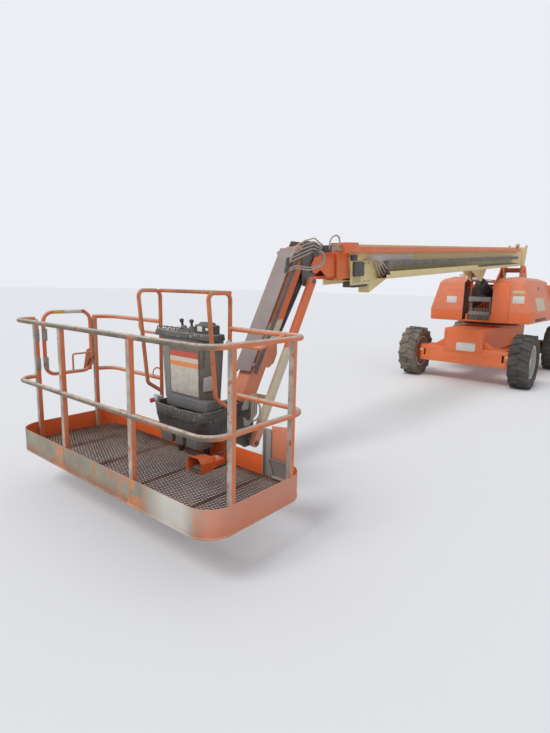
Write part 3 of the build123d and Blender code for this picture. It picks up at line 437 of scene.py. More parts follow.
tan_rubber = dusty_rubber("tyre_tan", (0.36, 0.3, 0.225), 0.95)
black_rubber = dusty_rubber("tyre_black", (0.2, 0.185, 0.16), 0.42)
rim_paint = worn_paint("rim_paint", (0.62, 0.6, 0.55), (0.5, 0.48, 0.44), (0.22, 0.12, 0.07), dust=0.35)
for wheel, outward, rubber in (("fixed_left", 1, black_rubber), ("fixed_right", -1, tan_rubber),
        ("steer_left", 1, black_rubber), ("steer_right", -1, tan_rubber)):
    low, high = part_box("tyre_" + wheel)
    hub = (low + high) / 2
    finish_piece(lugged_tyre("lugged_tyre_" + wheel, hub), rubber, "wheel_" + wheel, "tyre_rubber",
        "tyre_" + wheel)
    pieces = [turned_shape("rim", outline, hub, (0, outward, 0)) for outline in (RIM, DISH, HUB)]
    for step in range(NUT_COUNT):
        turn = 2 * pi * step / NUT_COUNT
        seat = hub + Vector((0.157 * cos(turn), outward * 0.058, 0.157 * sin(turn)))
        nut = start_shape("nut", bpy.ops.mesh.primitive_cylinder_add, vertices=6, radius=0.0165, depth=0.022,
            location=seat + Vector((0, outward * 0.01, 0)), rotation=(pi / 2, turn, 0))
        bpy.ops.mesh.bevel(offset=0.002, segments=1, affect="EDGES")
        pieces.append(end_shape(nut))
        pieces += studs([seat], (0, outward * 0.034, 0), 0.009, 10, 0.0015)
    finish_group("wheel_rim_" + wheel, pieces, rim_paint, "wheel_" + wheel, "rim_paint", "rim_" + wheel)


# Chassis: a welded steel box hull with the fixed axle's beam across its front and the steered axle
# pinned under its tail, all in orange paint that has gone matt, over black-painted steering gear.
orange = worn_paint("orange_paint", (0.78, 0.145, 0.028), (0.78, 0.25, 0.12), (0.16, 0.08, 0.05), chips=0.68,
    dust=0.1)
dark = worn_paint("dark_paint", (0.03, 0.031, 0.034), (0.085, 0.085, 0.088), (0.12, 0.07, 0.05), chips=0.72,
    gloss=0.5)
steel = worn_paint("bare_steel", (0.36, 0.34, 0.31), (0.28, 0.23, 0.18), (0.2, 0.1, 0.06), chips=0.58,
    dust=0.2)
white_sign = worn_paint("blank_sign", (0.7, 0.69, 0.66), (0.6, 0.58, 0.54), (0.32, 0.28, 0.24), chips=0.66,
    dust=0.15)
beige_sign = worn_paint("beige_sign", (0.62, 0.54, 0.36), (0.55, 0.48, 0.34), (0.35, 0.28, 0.2), chips=0.66,
    dust=0.15)
softened("chassis_frame", orange, 0.012, 3)
for node in ("axle_fixed", "axle_steer"):
    softened(node, orange, 0.006)
softened("swing_bearing", dark, 0.003)
for node in ("knuckle_left", "knuckle_right", "tie_rod"):
    softened(node, dark)


def upright(x, *places):
    """The corners of an outline that stands square to the machine's length."""
    return [(x, y, z) for y, z in places]


beam_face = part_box("axle_fixed")[1].x
pieces = [plate("front_plate", upright(beam_face - 0.104, (-0.385, 1.068), (-0.385, 0.66), (-0.33, 0.6),
        (0.33, 0.6), (0.385, 0.66), (0.385, 1.068)), (0.116, 0, 0), 0.012, 3)]
pieces += [plate("beam_gusset", upright(beam_face - 0.075, (side * 0.38, 0.86), (side * 0.38, 0.69),
        (side * 0.64, 0.69)), (0.014, 0, 0)) for side in (-1, 1)]
finish_group("front_plate", pieces, orange, "root", "orange_paint")
sign = plate("chassis_sign", upright(beam_face + 0.0115, (-0.105, 0.635), (-0.125, 0.655), (-0.125, 0.775),
        (-0.105, 0.795), (0.225, 0.795), (0.245, 0.775), (0.245, 0.655), (0.225, 0.635)), (0.003, 0, 0),
    0.0008)
finish_piece(sign, white_sign, "root", "orange_paint")
bolts = studs([(beam_face + 0.01, y, z) for y in (-0.345, 0.345) for z in (0.74, 0.86, 0.98)], (0.01, 0, 0),
    0.014, 6, 0.002)
bolts += studs([(beam_face - 0.002, y, z) for y in (-0.6, 0.6) for z in (0.44, 0.6)], (0.012, 0, 0), 0.013,
    6, 0.002)
finish_group("chassis_bolts", bolts, steel, "root", "dark_steel")
marks = [edged_box("beam_mark", (beam_face - 0.001, y - 0.035, 0.56), (beam_face + 0.0015, y + 0.035, 0.6),
        0.0006) for y in (-0.84, 0.84)]
finish_group("beam_marks", marks, beige_sign, "root", "orange_paint")


# Turntable: a folded and welded deck that carries the boom's uprights, with the valve bank in its
# well, a cast counterweight behind, and the engine and tank under the hoods.
softened("turntable_frame", orange, 0.005)
softened("front_panel", orange, 0.003)
softened("counterweight", orange, 0.014, 3)
softened("engine", worn_paint("engine_grey", (0.16, 0.16, 0.155), (0.22, 0.21, 0.2), (0.1, 0.07, 0.05),
        dust=0.3, gloss=0.5), 0.02, 3)
softened("fuel_tank", dark, 0.03, 4)
softened("valve_bank", worn_paint("bank_grey", (0.24, 0.24, 0.235), (0.32, 0.31, 0.29), (0.12, 0.09, 0.07),
        dust=0.35, gloss=0.55), 0.008)
bank_low, bank_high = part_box("valve_bank")
PORT_Z = bank_low.z + 0.1
PORTS = [(-0.18 + 0.06 * k, bank_high.x + 0.012 + 0.006 * (k % 3), -0.19 + 0.063 * k) for k in range(7)]
SOLENOID = [(0.0005, 0), (0.022, 0), (0.022, 0.012), (0.018, 0.016), (0.018, 0.07), (0.013, 0.078),
    (0.0005, 0.08)]
UNION = [(0.0005, 0), (0.014, 0), (0.014, 0.014), (0.01, 0.018), (0.01, 0.034), (0.0005, 0.036)]
valves = []
for y, turn_x, end_y in PORTS:
    valves.append(turned_shape("solenoid", SOLENOID, (bank_low.x + 0.16, y, bank_low.z + 0.176), (0, 0, 1),
            18))
    valves.append(turned_shape("union", UNION, (bank_high.x - 0.062, y, PORT_Z), (1, 0, 0), 14))
finish_group("valves", valves, steel, "turntable", "dark_steel")


def bent_tube(name, corners, bend, radius, sides=18):
    """A tube as a bender makes it: a circle run straight from corner to corner and spun round each."""
    corners = [Vector(c) for c in corners]
    heading = (corners[1] - corners[0]).normalized()
    tube = start_shape(name, bpy.ops.mesh.primitive_circle_add, vertices=sides, radius=radius,
        location=corners[0], rotation=heading.to_track_quat("Z", "Y").to_euler())
    reached = corners[0]
    for before, corner, after in zip(corners, corners[1:], corners[2:]):
        into, out = (corner - before).normalized(), (after - corner).normalized()
        turn = into.angle(out)
        start = corner - into * bend * tan(turn / 2)
        axis = into.cross(out).normalized()
        if (start - reached).length > 0.0005:
            push(start - reached)
        bpy.ops.mesh.spin(steps=max(3, round(degrees(turn) / 11)), angle=turn,
            center=start + axis.cross(into) * bend, axis=-axis)
        reached = corner + out * bend * tan(turn / 2)
    push(corners[-1] - reached)
    take_all()
    bpy.ops.mesh.fill_holes(sides=0)
    return end_shape(tube)


hoses = [bent_tube("valve_hose", [(bank_high.x - 0.035, y, PORT_Z), (turn_x, y, PORT_Z),
        (turn_x, end_y, PORT_Z - 0.09)], 0.035, 0.01, 12) for y, turn_x, end_y in PORTS]
rubber_hose = worn_paint("hose_rubber", (0.04, 0.038, 0.036), (0.11, 0.1, 0.09), (0.02, 0.02, 0.02),
    dust=0.35, gloss=0.6)
finish_group("valve_hoses", hoses, rubber_hose, "turntable", "dark_steel")


# Hoods: moulded panels in orange that has faded pink above the crease, hinged along the well, with
# blank labels, a latch on the outer side and a vent slot along the sill.
hood_orange = worn_paint("hood_orange", (0.8, 0.155, 0.03), (0.78, 0.22, 0.09), (0.2, 0.1, 0.06),
    chips=0.7, dust=0.16, dust_colour=(0.46, 0.27, 0.2), overcoats_and_painted_shade=[
        ("Z", 1.4, 1.43, (0.78, 0.225, 0.115))])
for node in ("hood_left", "hood_right"):
    softened(node, hood_orange, 0.008, 3)


def sign_on(name, node, corners, direction, material):
    """A thin plate laid on a node's surface, its corners found by looking along a direction."""
    mesh = nodes[node].data
    surface = BVHTree.FromPolygons([v.co for v in mesh.vertices], [tuple(p.vertices) for p in mesh.polygons])
    direction = Vector(direction)
    hits = [surface.ray_cast(Vector(corner), direction)[0] for corner in corners]
    out = (hits[1] - hits[0]).cross(hits[3] - hits[0]).normalized()
    out = out if out.dot(direction) < 0 else -out
    piece = plate(name, [place + out * 0.0002 for place in hits], out * 0.0025, 0.0008)
    return finish_piece(piece, material, node, SLOT_OF[node])


def oblong(first, second, low, high):
    return (first, low), (second, low), (second, high), (first, high)


for name, node, paint, *edges in (("hood_sign_right", "hood_right", white_sign, -0.665, -0.455, 1.56, 1.7),
        ("hood_sign_left", "hood_left", white_sign, 0.655, 0.87, 1.59, 1.735),
        ("hood_strip_left", "hood_left", beige_sign, 0.645, 0.862, 1.785, 1.842)):
    sign_on(name, node, upright(-2.0, *oblong(*edges)), (-1, 0, 0), paint)
for side, node in ((1, "hood_left"), (-1, "hood_right")):
    for name, paint, *edges in (("_side_sign", beige_sign, -4.1, -3.3, 1.43, 1.7),
            ("_slot", dark, -4.25, -3.2, 1.215, 1.275), ("_latch", dark, -3.84, -3.74, 1.86, 1.925)):
        sign_on(node + name, node, [(x, side * 2, z) for x, z in oblong(*edges)], (0, -side, 0), paint)
cap = turned_shape("exhaust_cap", [(0.055, -0.085), (0.0665, -0.085), (0.0665, -0.012), (0.058, -0.0005),
        (0.0005, -0.0005), (0.0005, -0.01), (0.05, -0.012)], (-3.309, -0.6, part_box("hood_right")[1].z),
    (0, 0, 1), 36)
finish_piece(cap, white_sign, "hood_right", "orange_paint")


# Boom: cream base and mid sections and an orange fly inside them, each welded of four plates. The
# mid section's nose is painted orange too.
CREAM_COLOURS = (0.74, 0.58, 0.25), (0.78, 0.66, 0.38), (0.28, 0.17, 0.08)
cream = worn_paint("cream_paint", *CREAM_COLOURS, chips=0.7, dust=0.15)
mid_paint = worn_paint("mid_paint", *CREAM_COLOURS, chips=0.7, dust=0.15,
    overcoats_and_painted_shade=[("X", 2.885, 2.895, (0.78, 0.16, 0.035))])
for node, coat in (("boom_base", cream), ("boom_mid", mid_paint), ("track_tray", cream), ("boom_fly", orange),
        ("push_tube", orange), ("lift_barrel", dark)):
    softened(node, coat)
paint = Paint("chrome_rod")
chrome = paint.done((0.62, 0.63, 0.64), paint.wander(0.12, 0.3, 9, 0.7), metal=1.0)
softened("lift_rod", chrome, 0.003)

BOOM_SLOPE = radians(4)
BOOM_PIN = Vector((-5.139, 0, 2.34))


def on_boom(out, side, up):
    """A place on the boom: out along it from its pin, to a side, and up square to it."""
    return BOOM_PIN + Vector((out * cos(BOOM_SLOPE) + up * sin(BOOM_SLOPE), side,
            up * cos(BOOM_SLOPE) - out * sin(BOOM_SLOPE)))


def boom_plate(side, thick, *corners, edge=0.003):
    return plate("boom_plate", [on_boom(out, side, up) for out, up in corners], (0, thick, 0), edge)


nose_plates = [boom_plate(side, 0.02, *oblong(7.6, 8.045, 0.075, 0.355)) for side in (0.182, -0.202)]
nose_plates += [boom_plate(0.02, 0.15, (7.58, 0.13), (7.05, 0.13), (7.09, 0.112), (7.56, -0.04)),
    boom_plate(0.3305, 0.004, (7.25, 0.13), (7.34, 0.215), (3.83, 0.215), (3.83, 0.13)),
    boom_plate(0.2, 0.014, (0.82, 0.42), (0.8, 0.62), (0.45, 0.62), (0.45, 0.42))]
finish_group("nose_bracket", nose_plates, cream, "boom_base", "cream_paint")
boxes = [boom_plate(side, thick, *oblong(*edges), edge=edge) for side, thick, edge,
    *edges in ((0.202, 0.034, 0.014, 7.79, 8.02, 0.175, 0.344), (-0.02, 0.18, 0.01, 7.59, 7.88, 0.04,
        0.112), (0.184, 0.035, 0.006, 7.93, 8.045, 0.358, 0.424))]
boxes.append(boom_plate(0.213, 0.004, (0.76, 0.46), (0.76, 0.58), (0.6, 0.58), (0.6, 0.46)))
finish_group("nose_boxes", boxes, dark, "boom_base", "dark_steel")
bolts = studs([on_boom(out, 0.201, up) for out in (7.65, 7.73) for up in (0.11, 0.32)], (0, 0.009, 0), 0.011)
finish_group("nose_bolts", bolts, steel, "boom_base", "dark_steel")
finish_group("boom_sign", [boom_plate(0.1802, 0.0025, *oblong(6.3, 7.56, 0.345, 0.425), edge=0.0008)],
    white_sign, "boom_base", "cream_paint")
tan_hose = worn_paint("tan_hose", (0.42, 0.345, 0.285), (0.5, 0.43, 0.36), (0.12, 0.1, 0.09), chips=0.64,
    dust=0.3, gloss=0.55)
loops = []
for k in range(4):
    side = 0.212 + 0.02 * k
    loops.append(bent_tube("nose_hose", [on_boom(*place) for place in ((7.72 - 0.03 * k, 0.206, 0.36),
            (7.7 - 0.03 * k, side, 0.375), (7.52 - 0.05 * k, side, 0.35 - 0.015 * k),
            (7.34 - 0.03 * k, side, 0.135 + 0.02 * k), (7.24, side, 0.175 + 0.028 * k),
            (7.15, side, 0.2 + 0.022 * k))], 0.055, 0.009, 12))
finish_group("nose_hoses", loops, tan_hose, "boom_base", "track_plastic")


# Hose track: linked carriers that lie in the tray beside the base and are pushed along by the orange
# tube, with a pale tie at every few links.
softened("power_track", worn_paint("track_plastic", (0.13, 0.115, 0.1), (0.2, 0.18, 0.155),
        (0.08, 0.07, 0.06), dust=0.3, gloss=0.6), 0.003)
TIE_COUNT, TIE_START, TIE_PITCH = 48, 1.1, 0.125
bars = [edged_box("link_bar", (0, 0, 0), (0.01, 0.124, 0.004), 0.001) for k in range(TIE_COUNT)]
for k, bar in enumerate(bars):
    place = on_boom(TIE_START + k * TIE_PITCH, 0.19, 0.3115)
    bar.data.transform(Matrix.Translation(place) @ Matrix.Rotation(BOOM_SLOPE, 4, "Y"))
finish_group("track_bars", bars, tan_hose, "boom_base", "track_plastic")


# Jib: the head on the boom's nose, the jib tube under its hose cover, two link bars that keep the
# lower head upright, and the lift cylinder between them.
softened("jib_knuckle", worn_paint("knuckle_grey", (0.075, 0.072, 0.068), (0.13, 0.12, 0.11),
        (0.16, 0.1, 0.07), dust=0.3))
JIB_COLOURS = (0.74, 0.15, 0.035), (0.74, 0.23, 0.11), (0.3, 0.18, 0.12)
for node, name, *coats in (("jib_tube", "jib_orange", ("Z", 1.52, 1.44, (0.66, 0.58, 0.42)),
            ("Z", 1.28, 1.22, (0.72, 0.235, 0.12))), ("jib_link", "link_orange",
            ("Z", 1.26, 1.18, (0.64, 0.56, 0.4)), ("Z", 0.58, 0.44, (0.66, 0.26, 0.15)))):
    softened(node, worn_paint(name, *JIB_COLOURS, chips=0.67, dust=0.15, overcoats_and_painted_shade=coats))
# The dark brown laid on the cover's +Y faces is painted shade for its shadowed flank.
softened("hose_cover", worn_paint("cover_paint", (0.27, 0.205, 0.195), (0.36, 0.29, 0.27), (0.14, 0.1, 0.09),
        dust=0.3, gloss=0.5, overcoats_and_painted_shade=[("faces Y", 0.3, 0.7, (0.115, 0.085, 0.072))]))
softened("jib_barrel", dark, 0.003)
softened("jib_rod", chrome, 0.002)
head_black = worn_paint("head_black", (0.045, 0.036, 0.032), (0.1, 0.085, 0.075), (0.2, 0.1, 0.06),
    chips=0.66, dust=0.3)
for node, coat in (("jib_support", head_black), ("rotator", dark), ("platform_bracket", head_black)):
    softened(node, coat)


# Hydraulic hoses: steel-braided rubber with a tan cover, clamped at both ends. A bundle leaves the push
# tube's head with one slack loop, a fan lies over the jib's head, and loops hang by the rotator.
def shaped_block(name, low_outline, high_outline, edge=0.004, segments=2):
    """A solid between two outlines of the same count, its edges broken."""
    piece = outline_shape(name, low_outline)
    low_outline, high_outline = [Vector(p) for p in low_outline], [Vector(p) for p in high_outline]
    rise = high_outline[0] - low_outline[0]
    push(rise)
    move_picked(piece, lambda co: min(zip(low_outline, high_outline),
            key=lambda pair: (pair[0] + rise - co).length)[1])
    break_edges(edge, segments)
    return end_shape(piece)


def hose_bundle(name, body, routes, radius=0.0085):
    routes = [[Vector(corner) for corner in route] for route in routes]
    hoses = [bent_tube("hose", route, 0.055, radius, 12) for route in routes]
    tips = [(route[0], route[1]) for route in routes] + [(route[-1], route[-2]) for route in routes]
    ends = [rod("hose_end", tip, tip + (after - tip).normalized() * 0.035, radius * 1.35, 6, 0.001) for tip,
        after in tips]
    finish_group(name, hoses, tan_hose, body, "track_plastic")
    finish_group(name + "_ends", ends, steel, body, "dark_steel")


def side_by_side(count, *corners):
    """Routes laid side by side: each corner is a place, and the step from one route's to the next's."""
    return [[Vector(place) + k * Vector(step) for place, step in corners] for k in range(count)]


fly_routes = [[(3.1, 0.2 + 0.016 * k, 2.245 + 0.008 * (k % 2)), (3.22, 0.21 + 0.01 * k,
        2.262 - 0.01 * k), (3.34, 0.214 + 0.008 * k, 2.225 + 0.006 * k), (3.43, 0.212 + 0.008 * k, 2.232)]
    for k in range(4)]
fly_routes += [[(3.43, 0.245, 2.205), (3.46, 0.25, 2.285), (3.42, 0.252, 2.35), (3.33, 0.252, 2.385),
        (3.25, 0.25, 2.355), (3.26, 0.248, 2.29), (3.33, 0.246, 2.25), (3.43, 0.245, 2.255)],
    [(3.11, 0.236, 2.275), (3.2, 0.24, 2.3), (3.34, 0.24, 2.275), (3.44, 0.236, 2.262)]]
hose_bundle("fly_hoses", "boom_fly", fly_routes)
clamp = edged_box("fly_clamp", (3.42, 0.121, 2.195), (3.448, 0.262, 2.27), 0.006, 3)
finish_piece(clamp, dark, "boom_fly", "dark_steel")
fan_routes = side_by_side(5, ((4.06, 0.14, 2.005), (-0.012, 0, 0.022)),
    ((3.99, 0.15, 2.07), (-0.012, 0.01, 0.04)), ((3.84, 0.185, 2.13), (0, 0.006, 0.038)),
    ((3.7, 0.212, 2.185), (0.006, 0.008, 0.033)), ((3.58, 0.214, 2.185), (0, 0.008, 0.018)))
fan_routes += side_by_side(2, ((4.05, 0.142, 1.985), (0, 0, -0.02)), ((3.92, 0.165, 2.035), (0, 0, -0.022)),
    ((3.76, 0.205, 2.02), (0, 0.01, -0.025)), ((3.61, 0.222, 2.045), (-0.01, 0.01, -0.01)),
    ((3.52, 0.225, 2.1), (-0.015, 0.01, 0)), ((3.545, 0.225, 2.185), (-0.015, 0.01, 0)),
    ((3.62, 0.222, 2.205), (0, 0.01, 0)))
hose_bundle("jib_hoses", "jib", fan_routes, 0.0075)
bar = [[(x + dx, y, z) for x, y, z in ((4.02, 0.133, low), (4.07, 0.133, low - 0.02),
        (4.07, 0.156, low - 0.02), (4.02, 0.156, low))] for dx, low in ((0, 1.975), (-0.035, 2.125))]
boss = turned_shape("hose_boss", [(0.0005, 0.2), (0.075, 0.2), (0.075, 0.215), (0.06, 0.222),
        (0.0005, 0.222)], (3.643, 0, 2.209), (0, 1, 0), 32)
finish_group("jib_clamps", [shaped_block("hose_clamp", *bar, 0.003), boss], dark, "jib", "dark_steel")
loop_routes = side_by_side(4, ((4.66, 0.206, 0.7), (0.02, 0, 0)), ((4.6, 0.212, 0.86),
        (0.02, 0.006, 0.01)), ((4.53, 0.214, 0.8), (0.03, 0.006, 0)),
    ((4.53, 0.214, 0.62), (0.03, 0.006, -0.01)), ((4.65, 0.214, 0.57), (0, 0.006, -0.008)),
    ((4.7, 0.206, 0.62), (0, 0, -0.02)))
loop_routes.append([(4.6, 0.206, 0.68), (4.52, 0.212, 0.8), (4.475, 0.214, 0.68), (4.48, 0.214, 0.6),
        (4.54, 0.21, 0.56), (4.6, 0.206, 0.58)])
hose_bundle("rotator_hoses", "jib_support", loop_routes, 0.009)


# Platform toe board: a band of sheet steel bent round the floor and rolled to a lip along its lower
# edge. Its long near face is rubbed down to primer and rust, the rest is orange gone salmon.
frame_low, frame_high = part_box("platform_frame")
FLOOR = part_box("platform_floor")[1].z
INNER, OUTER, END = frame_low.x, frame_high.x, frame_high.y
TOE_LOW, TOE_TOP = frame_low.z, frame_low.z + 0.193
TOP_RAIL, MIDDLE_RAIL = 1.492, 0.972
CORNER, POST = 0.19, 0.04
SEAMS = (-0.425, 0.485)
NEAR_END_X, FAR_END_X = OUTER - 0.2, INNER + CORNER
CAGE, CONSOLE = ("platform", "orange_paint"), ("platform", "grey_plastic")


def rounded_outline(inset, height, steps=12):
    corners = [(OUTER - CORNER, END - CORNER, 0), (INNER + CORNER, END - CORNER, 90),
        (INNER + CORNER, CORNER - END, 180), (OUTER - CORNER, CORNER - END, 270)]
    turns = [(x, y, radians(start + 90 * k / steps)) for x, y, start in corners for k in range(steps + 1)]
    return [(x + (CORNER - inset) * cos(turn), y + (CORNER - inset) * sin(turn), height) for x, y,
        turn in turns]


paint = Paint("toe_board_paint")
inside = paint.over(paint.patches(5, 0.35, 0.75), (0.8, 0.135, 0.02), (0.66, 0.13, 0.035))
salmon = paint.over(paint.patches(3.2, 0.3, 0.7), (0.66, 0.215, 0.115), (0.58, 0.27, 0.185))
salmon = paint.over(paint.times(paint.along("Z", 0.47, 0.4), paint.patches(2.2, 0.3, 0.62)), salmon,
    (0.62, 0.19, 0.09))
primer = paint.over(paint.patches(4.5, 0.35, 0.65), (0.215, 0.195, 0.145), (0.3, 0.27, 0.205))
primer = paint.over(paint.times(paint.along("Z", 0.44, 0.37), paint.patches(7, 0.33, 0.5)), primer,
    (0.3, 0.135, 0.06))
primer = paint.over(paint.patches(9, 0.575, 0.63), primer, (0.46, 0.17, 0.065))
pale = paint.times(paint.along("Y", 0.6, 0.85), paint.along("Y", 1.16, 1.02))
primer = paint.over(paint.times(pale, paint.patches(2, 0.2, 0.4)), primer, (0.53, 0.5, 0.44))
for seam_y in SEAMS:
    near = paint.combined("ABSOLUTE", paint.combined("SUBTRACT", paint.place("Y"), seam_y), 0.0)
    ring = paint.times(paint.ranged(near, 0.22, 0.02), paint.patches(8, 0.46, 0.52))
    primer = paint.over(ring, primer, (0.56, 0.2, 0.07))
outer_face = paint.times(paint.facing("X", 0.05, 0.15), paint.along("X", OUTER - 0.21, OUTER - 0.2))
worn_face = paint.times(outer_face, paint.facing("X", 0.45, 0.62), paint.along("Y", 1.2, 1.1))
outer_end = paint.times(paint.facing("Y", 0.05, 0.15), paint.along("Y", END - 0.2, END - 0.19))
coat = paint.over(outer_face, inside, salmon)
coat = paint.over(paint.times(outer_end, paint.along("Y", END - 0.0045 - CORNER, END - CORNER)), coat, salmon)
coat = paint.over(worn_face, coat, primer)
coat = paint.over(paint.patches(34, 0.685, 0.7, detail=10, rough=0.7), coat, (0.16, 0.085, 0.05))
coat = paint.over(paint.times(paint.facing(), paint.patches(8, 0.3, 0.6)), coat, (0.45, 0.38, 0.32))
toe_paint = paint.done(coat, paint.wander(0.42, 0.75), (paint.patches(24, 0.3, 0.7), 0.001))

board = outline_shape("toe_board", rounded_outline(0.004, TOE_LOW + 0.004))
hollow()
push((0, 0, TOE_TOP - TOE_LOW - 0.004))
end_shape(board)
apply_modifier(board, "SOLIDIFY", thickness=0.005, offset=-1)
apply_modifier(board, "BEVEL", width=0.0012, segments=2, limit_method="ANGLE")
lip = outline_shape("lip", rounded_outline(0.008, TOE_LOW + 0.008))
hollow()
end_shape(lip)
bpy.ops.object.convert(target="CURVE")
lip = bpy.context.object
lip.data.bevel_depth = 0.008
lip.data.bevel_resolution = 3
bpy.ops.object.convert(target="MESH")
lip = bpy.context.object
bpy.ops.object.shade_smooth_by_angle(angle=radians(50))
seams = [edged_box("seam", (OUTER - 0.006, y - 0.003, TOE_LOW + 0.01),
        (OUTER - 0.0015, y + 0.003, TOE_TOP - 0.002), 0.001) for y in SEAMS]
finish_group("toe_board", [board, lip, *seams], toe_paint, *CAGE)


# Platform floor: expanded steel mesh with its long diagonals along the platform, rusted brown, on
# cross members between the toe boards.
MESH_LONG, MESH_SHORT = 0.058, 0.025
paint = Paint("rusty_mesh")
coat = paint.over(paint.patches(5, 0.35, 0.65), (0.13, 0.062, 0.036), (0.235, 0.135, 0.09))
coat = paint.over(paint.times(paint.patches(2.2, 0.42, 0.62), 0.8), coat, (0.33, 0.21, 0.145))
rust = paint.done(paint.over(paint.patches(40, 0.62, 0.68), coat, (0.34, 0.27, 0.22)), 0.7, metal=0.25)

strand = outline_shape("strand", [(INNER + x, -END - MESH_LONG, FLOOR - drop) for x,
        drop in ((0.003, 0.0092), (0.0076, 0.0092), (0.0126, 0.0004), (0.008, 0.0004))])
for aside, run in ((0, 0.18), (MESH_SHORT / 2, 0.32), (0, 0.18), (-MESH_SHORT / 2, 0.32)):
    push((aside, MESH_LONG * run, 0))
pick_faces(strand, lambda face: abs(face.normal.y) > 0.99)
hollow()
end_shape(strand, smooth=20)
for offset, count in (((0, MESH_LONG, 0), round(2 * END / MESH_LONG) + 3),
        ((MESH_SHORT / 2, -MESH_LONG / 2, 0), 2), ((MESH_SHORT, 0, 0), round(0.945 / MESH_SHORT))):
    apply_modifier(strand, "ARRAY", use_relative_offset=False, use_constant_offset=True, count=count,
        constant_offset_displace=offset, use_merge_vertices=offset[0] == 0, merge_threshold=0.0002)
bpy.ops.object.mode_set(mode="EDIT")
inner = rounded_outline(0.012, FLOOR, steps=3)
for here, after in zip(inner, inner[1:] + inner[:1]):
    take_all()
    outward = Vector((after[1] - here[1], here[0] - after[0], 0)).normalized()
    bpy.ops.mesh.bisect(plane_co=here, plane_no=outward, clear_outer=True)
take_all()
bpy.ops.mesh.fill_holes(sides=8)
bpy.ops.object.mode_set(mode="OBJECT")
finish_piece(strand, rust, "platform", "floor_steel", "platform_floor")

members = [edged_box("member", (INNER + 0.012, y - 0.004, FLOOR - 0.03),
        (OUTER - 0.012, y + 0.004, FLOOR - 0.009), 0.001) for y in (-0.84, -0.28, 0.28, 0.84)]
members += [edged_box("member", (x - 0.004, 0.16 - END, FLOOR - 0.0295),
        (x + 0.004, END - 0.16, FLOOR - 0.0095), 0.001) for x in (INNER + 0.03, OUTER - 0.03)]
finish_group("floor_members", members, rust, "platform", "floor_steel")


# Platform posts and rails: square tube posts, and round tube bent round the corners and welded to
# them. Hands, harness hooks and weather have worn the near faces to a pale grey-brown, and the tops
# are dusted pale too, partly as dust and partly as a painted highlight.
def cage_paint(name, near, top, worn_from=0.0, chips=0.62):
    """Orange paint, rubbed to one colour on the near faces beyond a place, and dusted to another on top, which
    is partly a painted highlight.
    """
    paint = Paint(name)
    coat = paint.over(paint.patches(4, 0.35, 0.7), (0.7, 0.165, 0.05), (0.66, 0.25, 0.13))
    coat = paint.over(paint.patches(22, chips, chips + 0.05, detail=10, rough=0.7), coat,
        (0.3, 0.155, 0.085))
    rubbed = paint.over(paint.patches(9, 0.4, 0.62), near, shade(near, 0.62))
    rubbed = paint.over(paint.patches(17, 0.58, 0.64), rubbed, (0.38, 0.15, 0.06))
    worn = paint.times(paint.facing("X", 0.25, 0.6), paint.along("X", worn_from - 0.02, worn_from + 0.02))
    coat = paint.over(paint.times(worn, paint.patches(3, 0.28, 0.36)), coat, rubbed)
    # Top faces dusted pale: partly dust and partly a painted highlight on the round tubes.
    top_dust_and_highlight = paint.times(paint.facing("Z", 0.35, 0.8), paint.patches(12, 0.3, 0.45))
    coat = paint.over(top_dust_and_highlight, coat, paint.over(paint.patches(30, 0.4, 0.6), top, shade(top, 0.72)))
    return paint.done(coat, paint.wander(0.45, 0.8), (paint.patches(60, 0.3, 0.7), 0.0008))


rail_paint = cage_paint("rail_paint", (0.215, 0.17, 0.115), (0.58, 0.5, 0.42), OUTER - 0.16)
post_paint = cage_paint("post_paint", (0.47, 0.405, 0.335), (0.5, 0.42, 0.35))
post_y = END - 0.005 - POST / 2
POSTS = [(OUTER - 0.029, y) for y in SEAMS] + [(x, y) for x in (NEAR_END_X, FAR_END_X)
    for y in (-post_y, post_y)]
posts = [edged_box("post", (x - POST / 2, y - POST / 2, FLOOR - 0.03),
        (x + POST / 2, y + POST / 2, TOP_RAIL - 0.006), 0.005, 3) for x, y in POSTS]
finish_group("platform_posts", posts, post_paint, *CAGE, "platform_frame")

RAIL_R = 0.019
rail_x, rail_y, far_x = OUTER - 0.021, END - 0.021, INNER + 0.021
GUARD_RIGHT, GUARD_LEFT, GUARD_TOP = -0.4, 0.48, 1.767
rails = []
for z in (TOP_RAIL, MIDDLE_RAIL):
    for route in ([(NEAR_END_X, -rail_y), (rail_x, -rail_y), (rail_x, rail_y), (far_x, rail_y),
                (far_x, GUARD_LEFT)], [(FAR_END_X + 0.01, -rail_y), (far_x, -rail_y), (far_x, GUARD_RIGHT)]):
        rails.append(bent_tube("rail", [(x, y, z) for x, y in route], 0.14, RAIL_R, 20))
rails.append(bent_tube("rail_stub", upright(far_x, (-0.72, TOP_RAIL - 0.01), (-0.72, TOP_RAIL - 0.11),
        (-0.4, TOP_RAIL - 0.11)), 0.05, 0.013))
rails.append(bent_tube("hand_rail", [(far_x, GUARD_LEFT, 1.395), (far_x + 0.09, GUARD_LEFT + 0.06, 1.39),
        (far_x + 0.09, 0.88, 1.385), (far_x + 0.01, 1.04, TOP_RAIL)], 0.05, 0.014))
finish_group("platform_rails", rails, rail_paint, *CAGE)

guards = [bent_tube("cross_bar", upright(far_x, (GUARD_RIGHT, GUARD_TOP), (0.04, GUARD_TOP + 0.0005),
        (GUARD_LEFT, GUARD_TOP)), 0.3, 0.016)]
for y in (GUARD_RIGHT, GUARD_LEFT):
    side_view = ((0, FLOOR + 0.02), (0, GUARD_TOP), (0.23, GUARD_TOP), (0.15, FLOOR + 0.56),
        (0, FLOOR + 0.46))
    guards.append(bent_tube("guard", [(far_x + x, y, z) for x, z in side_view], 0.055, 0.017))
finish_group("console_guards", guards, cage_paint("guard_paint", (0.6, 0.19, 0.07), (0.4, 0.27, 0.18),
        chips=0.6), *CAGE)


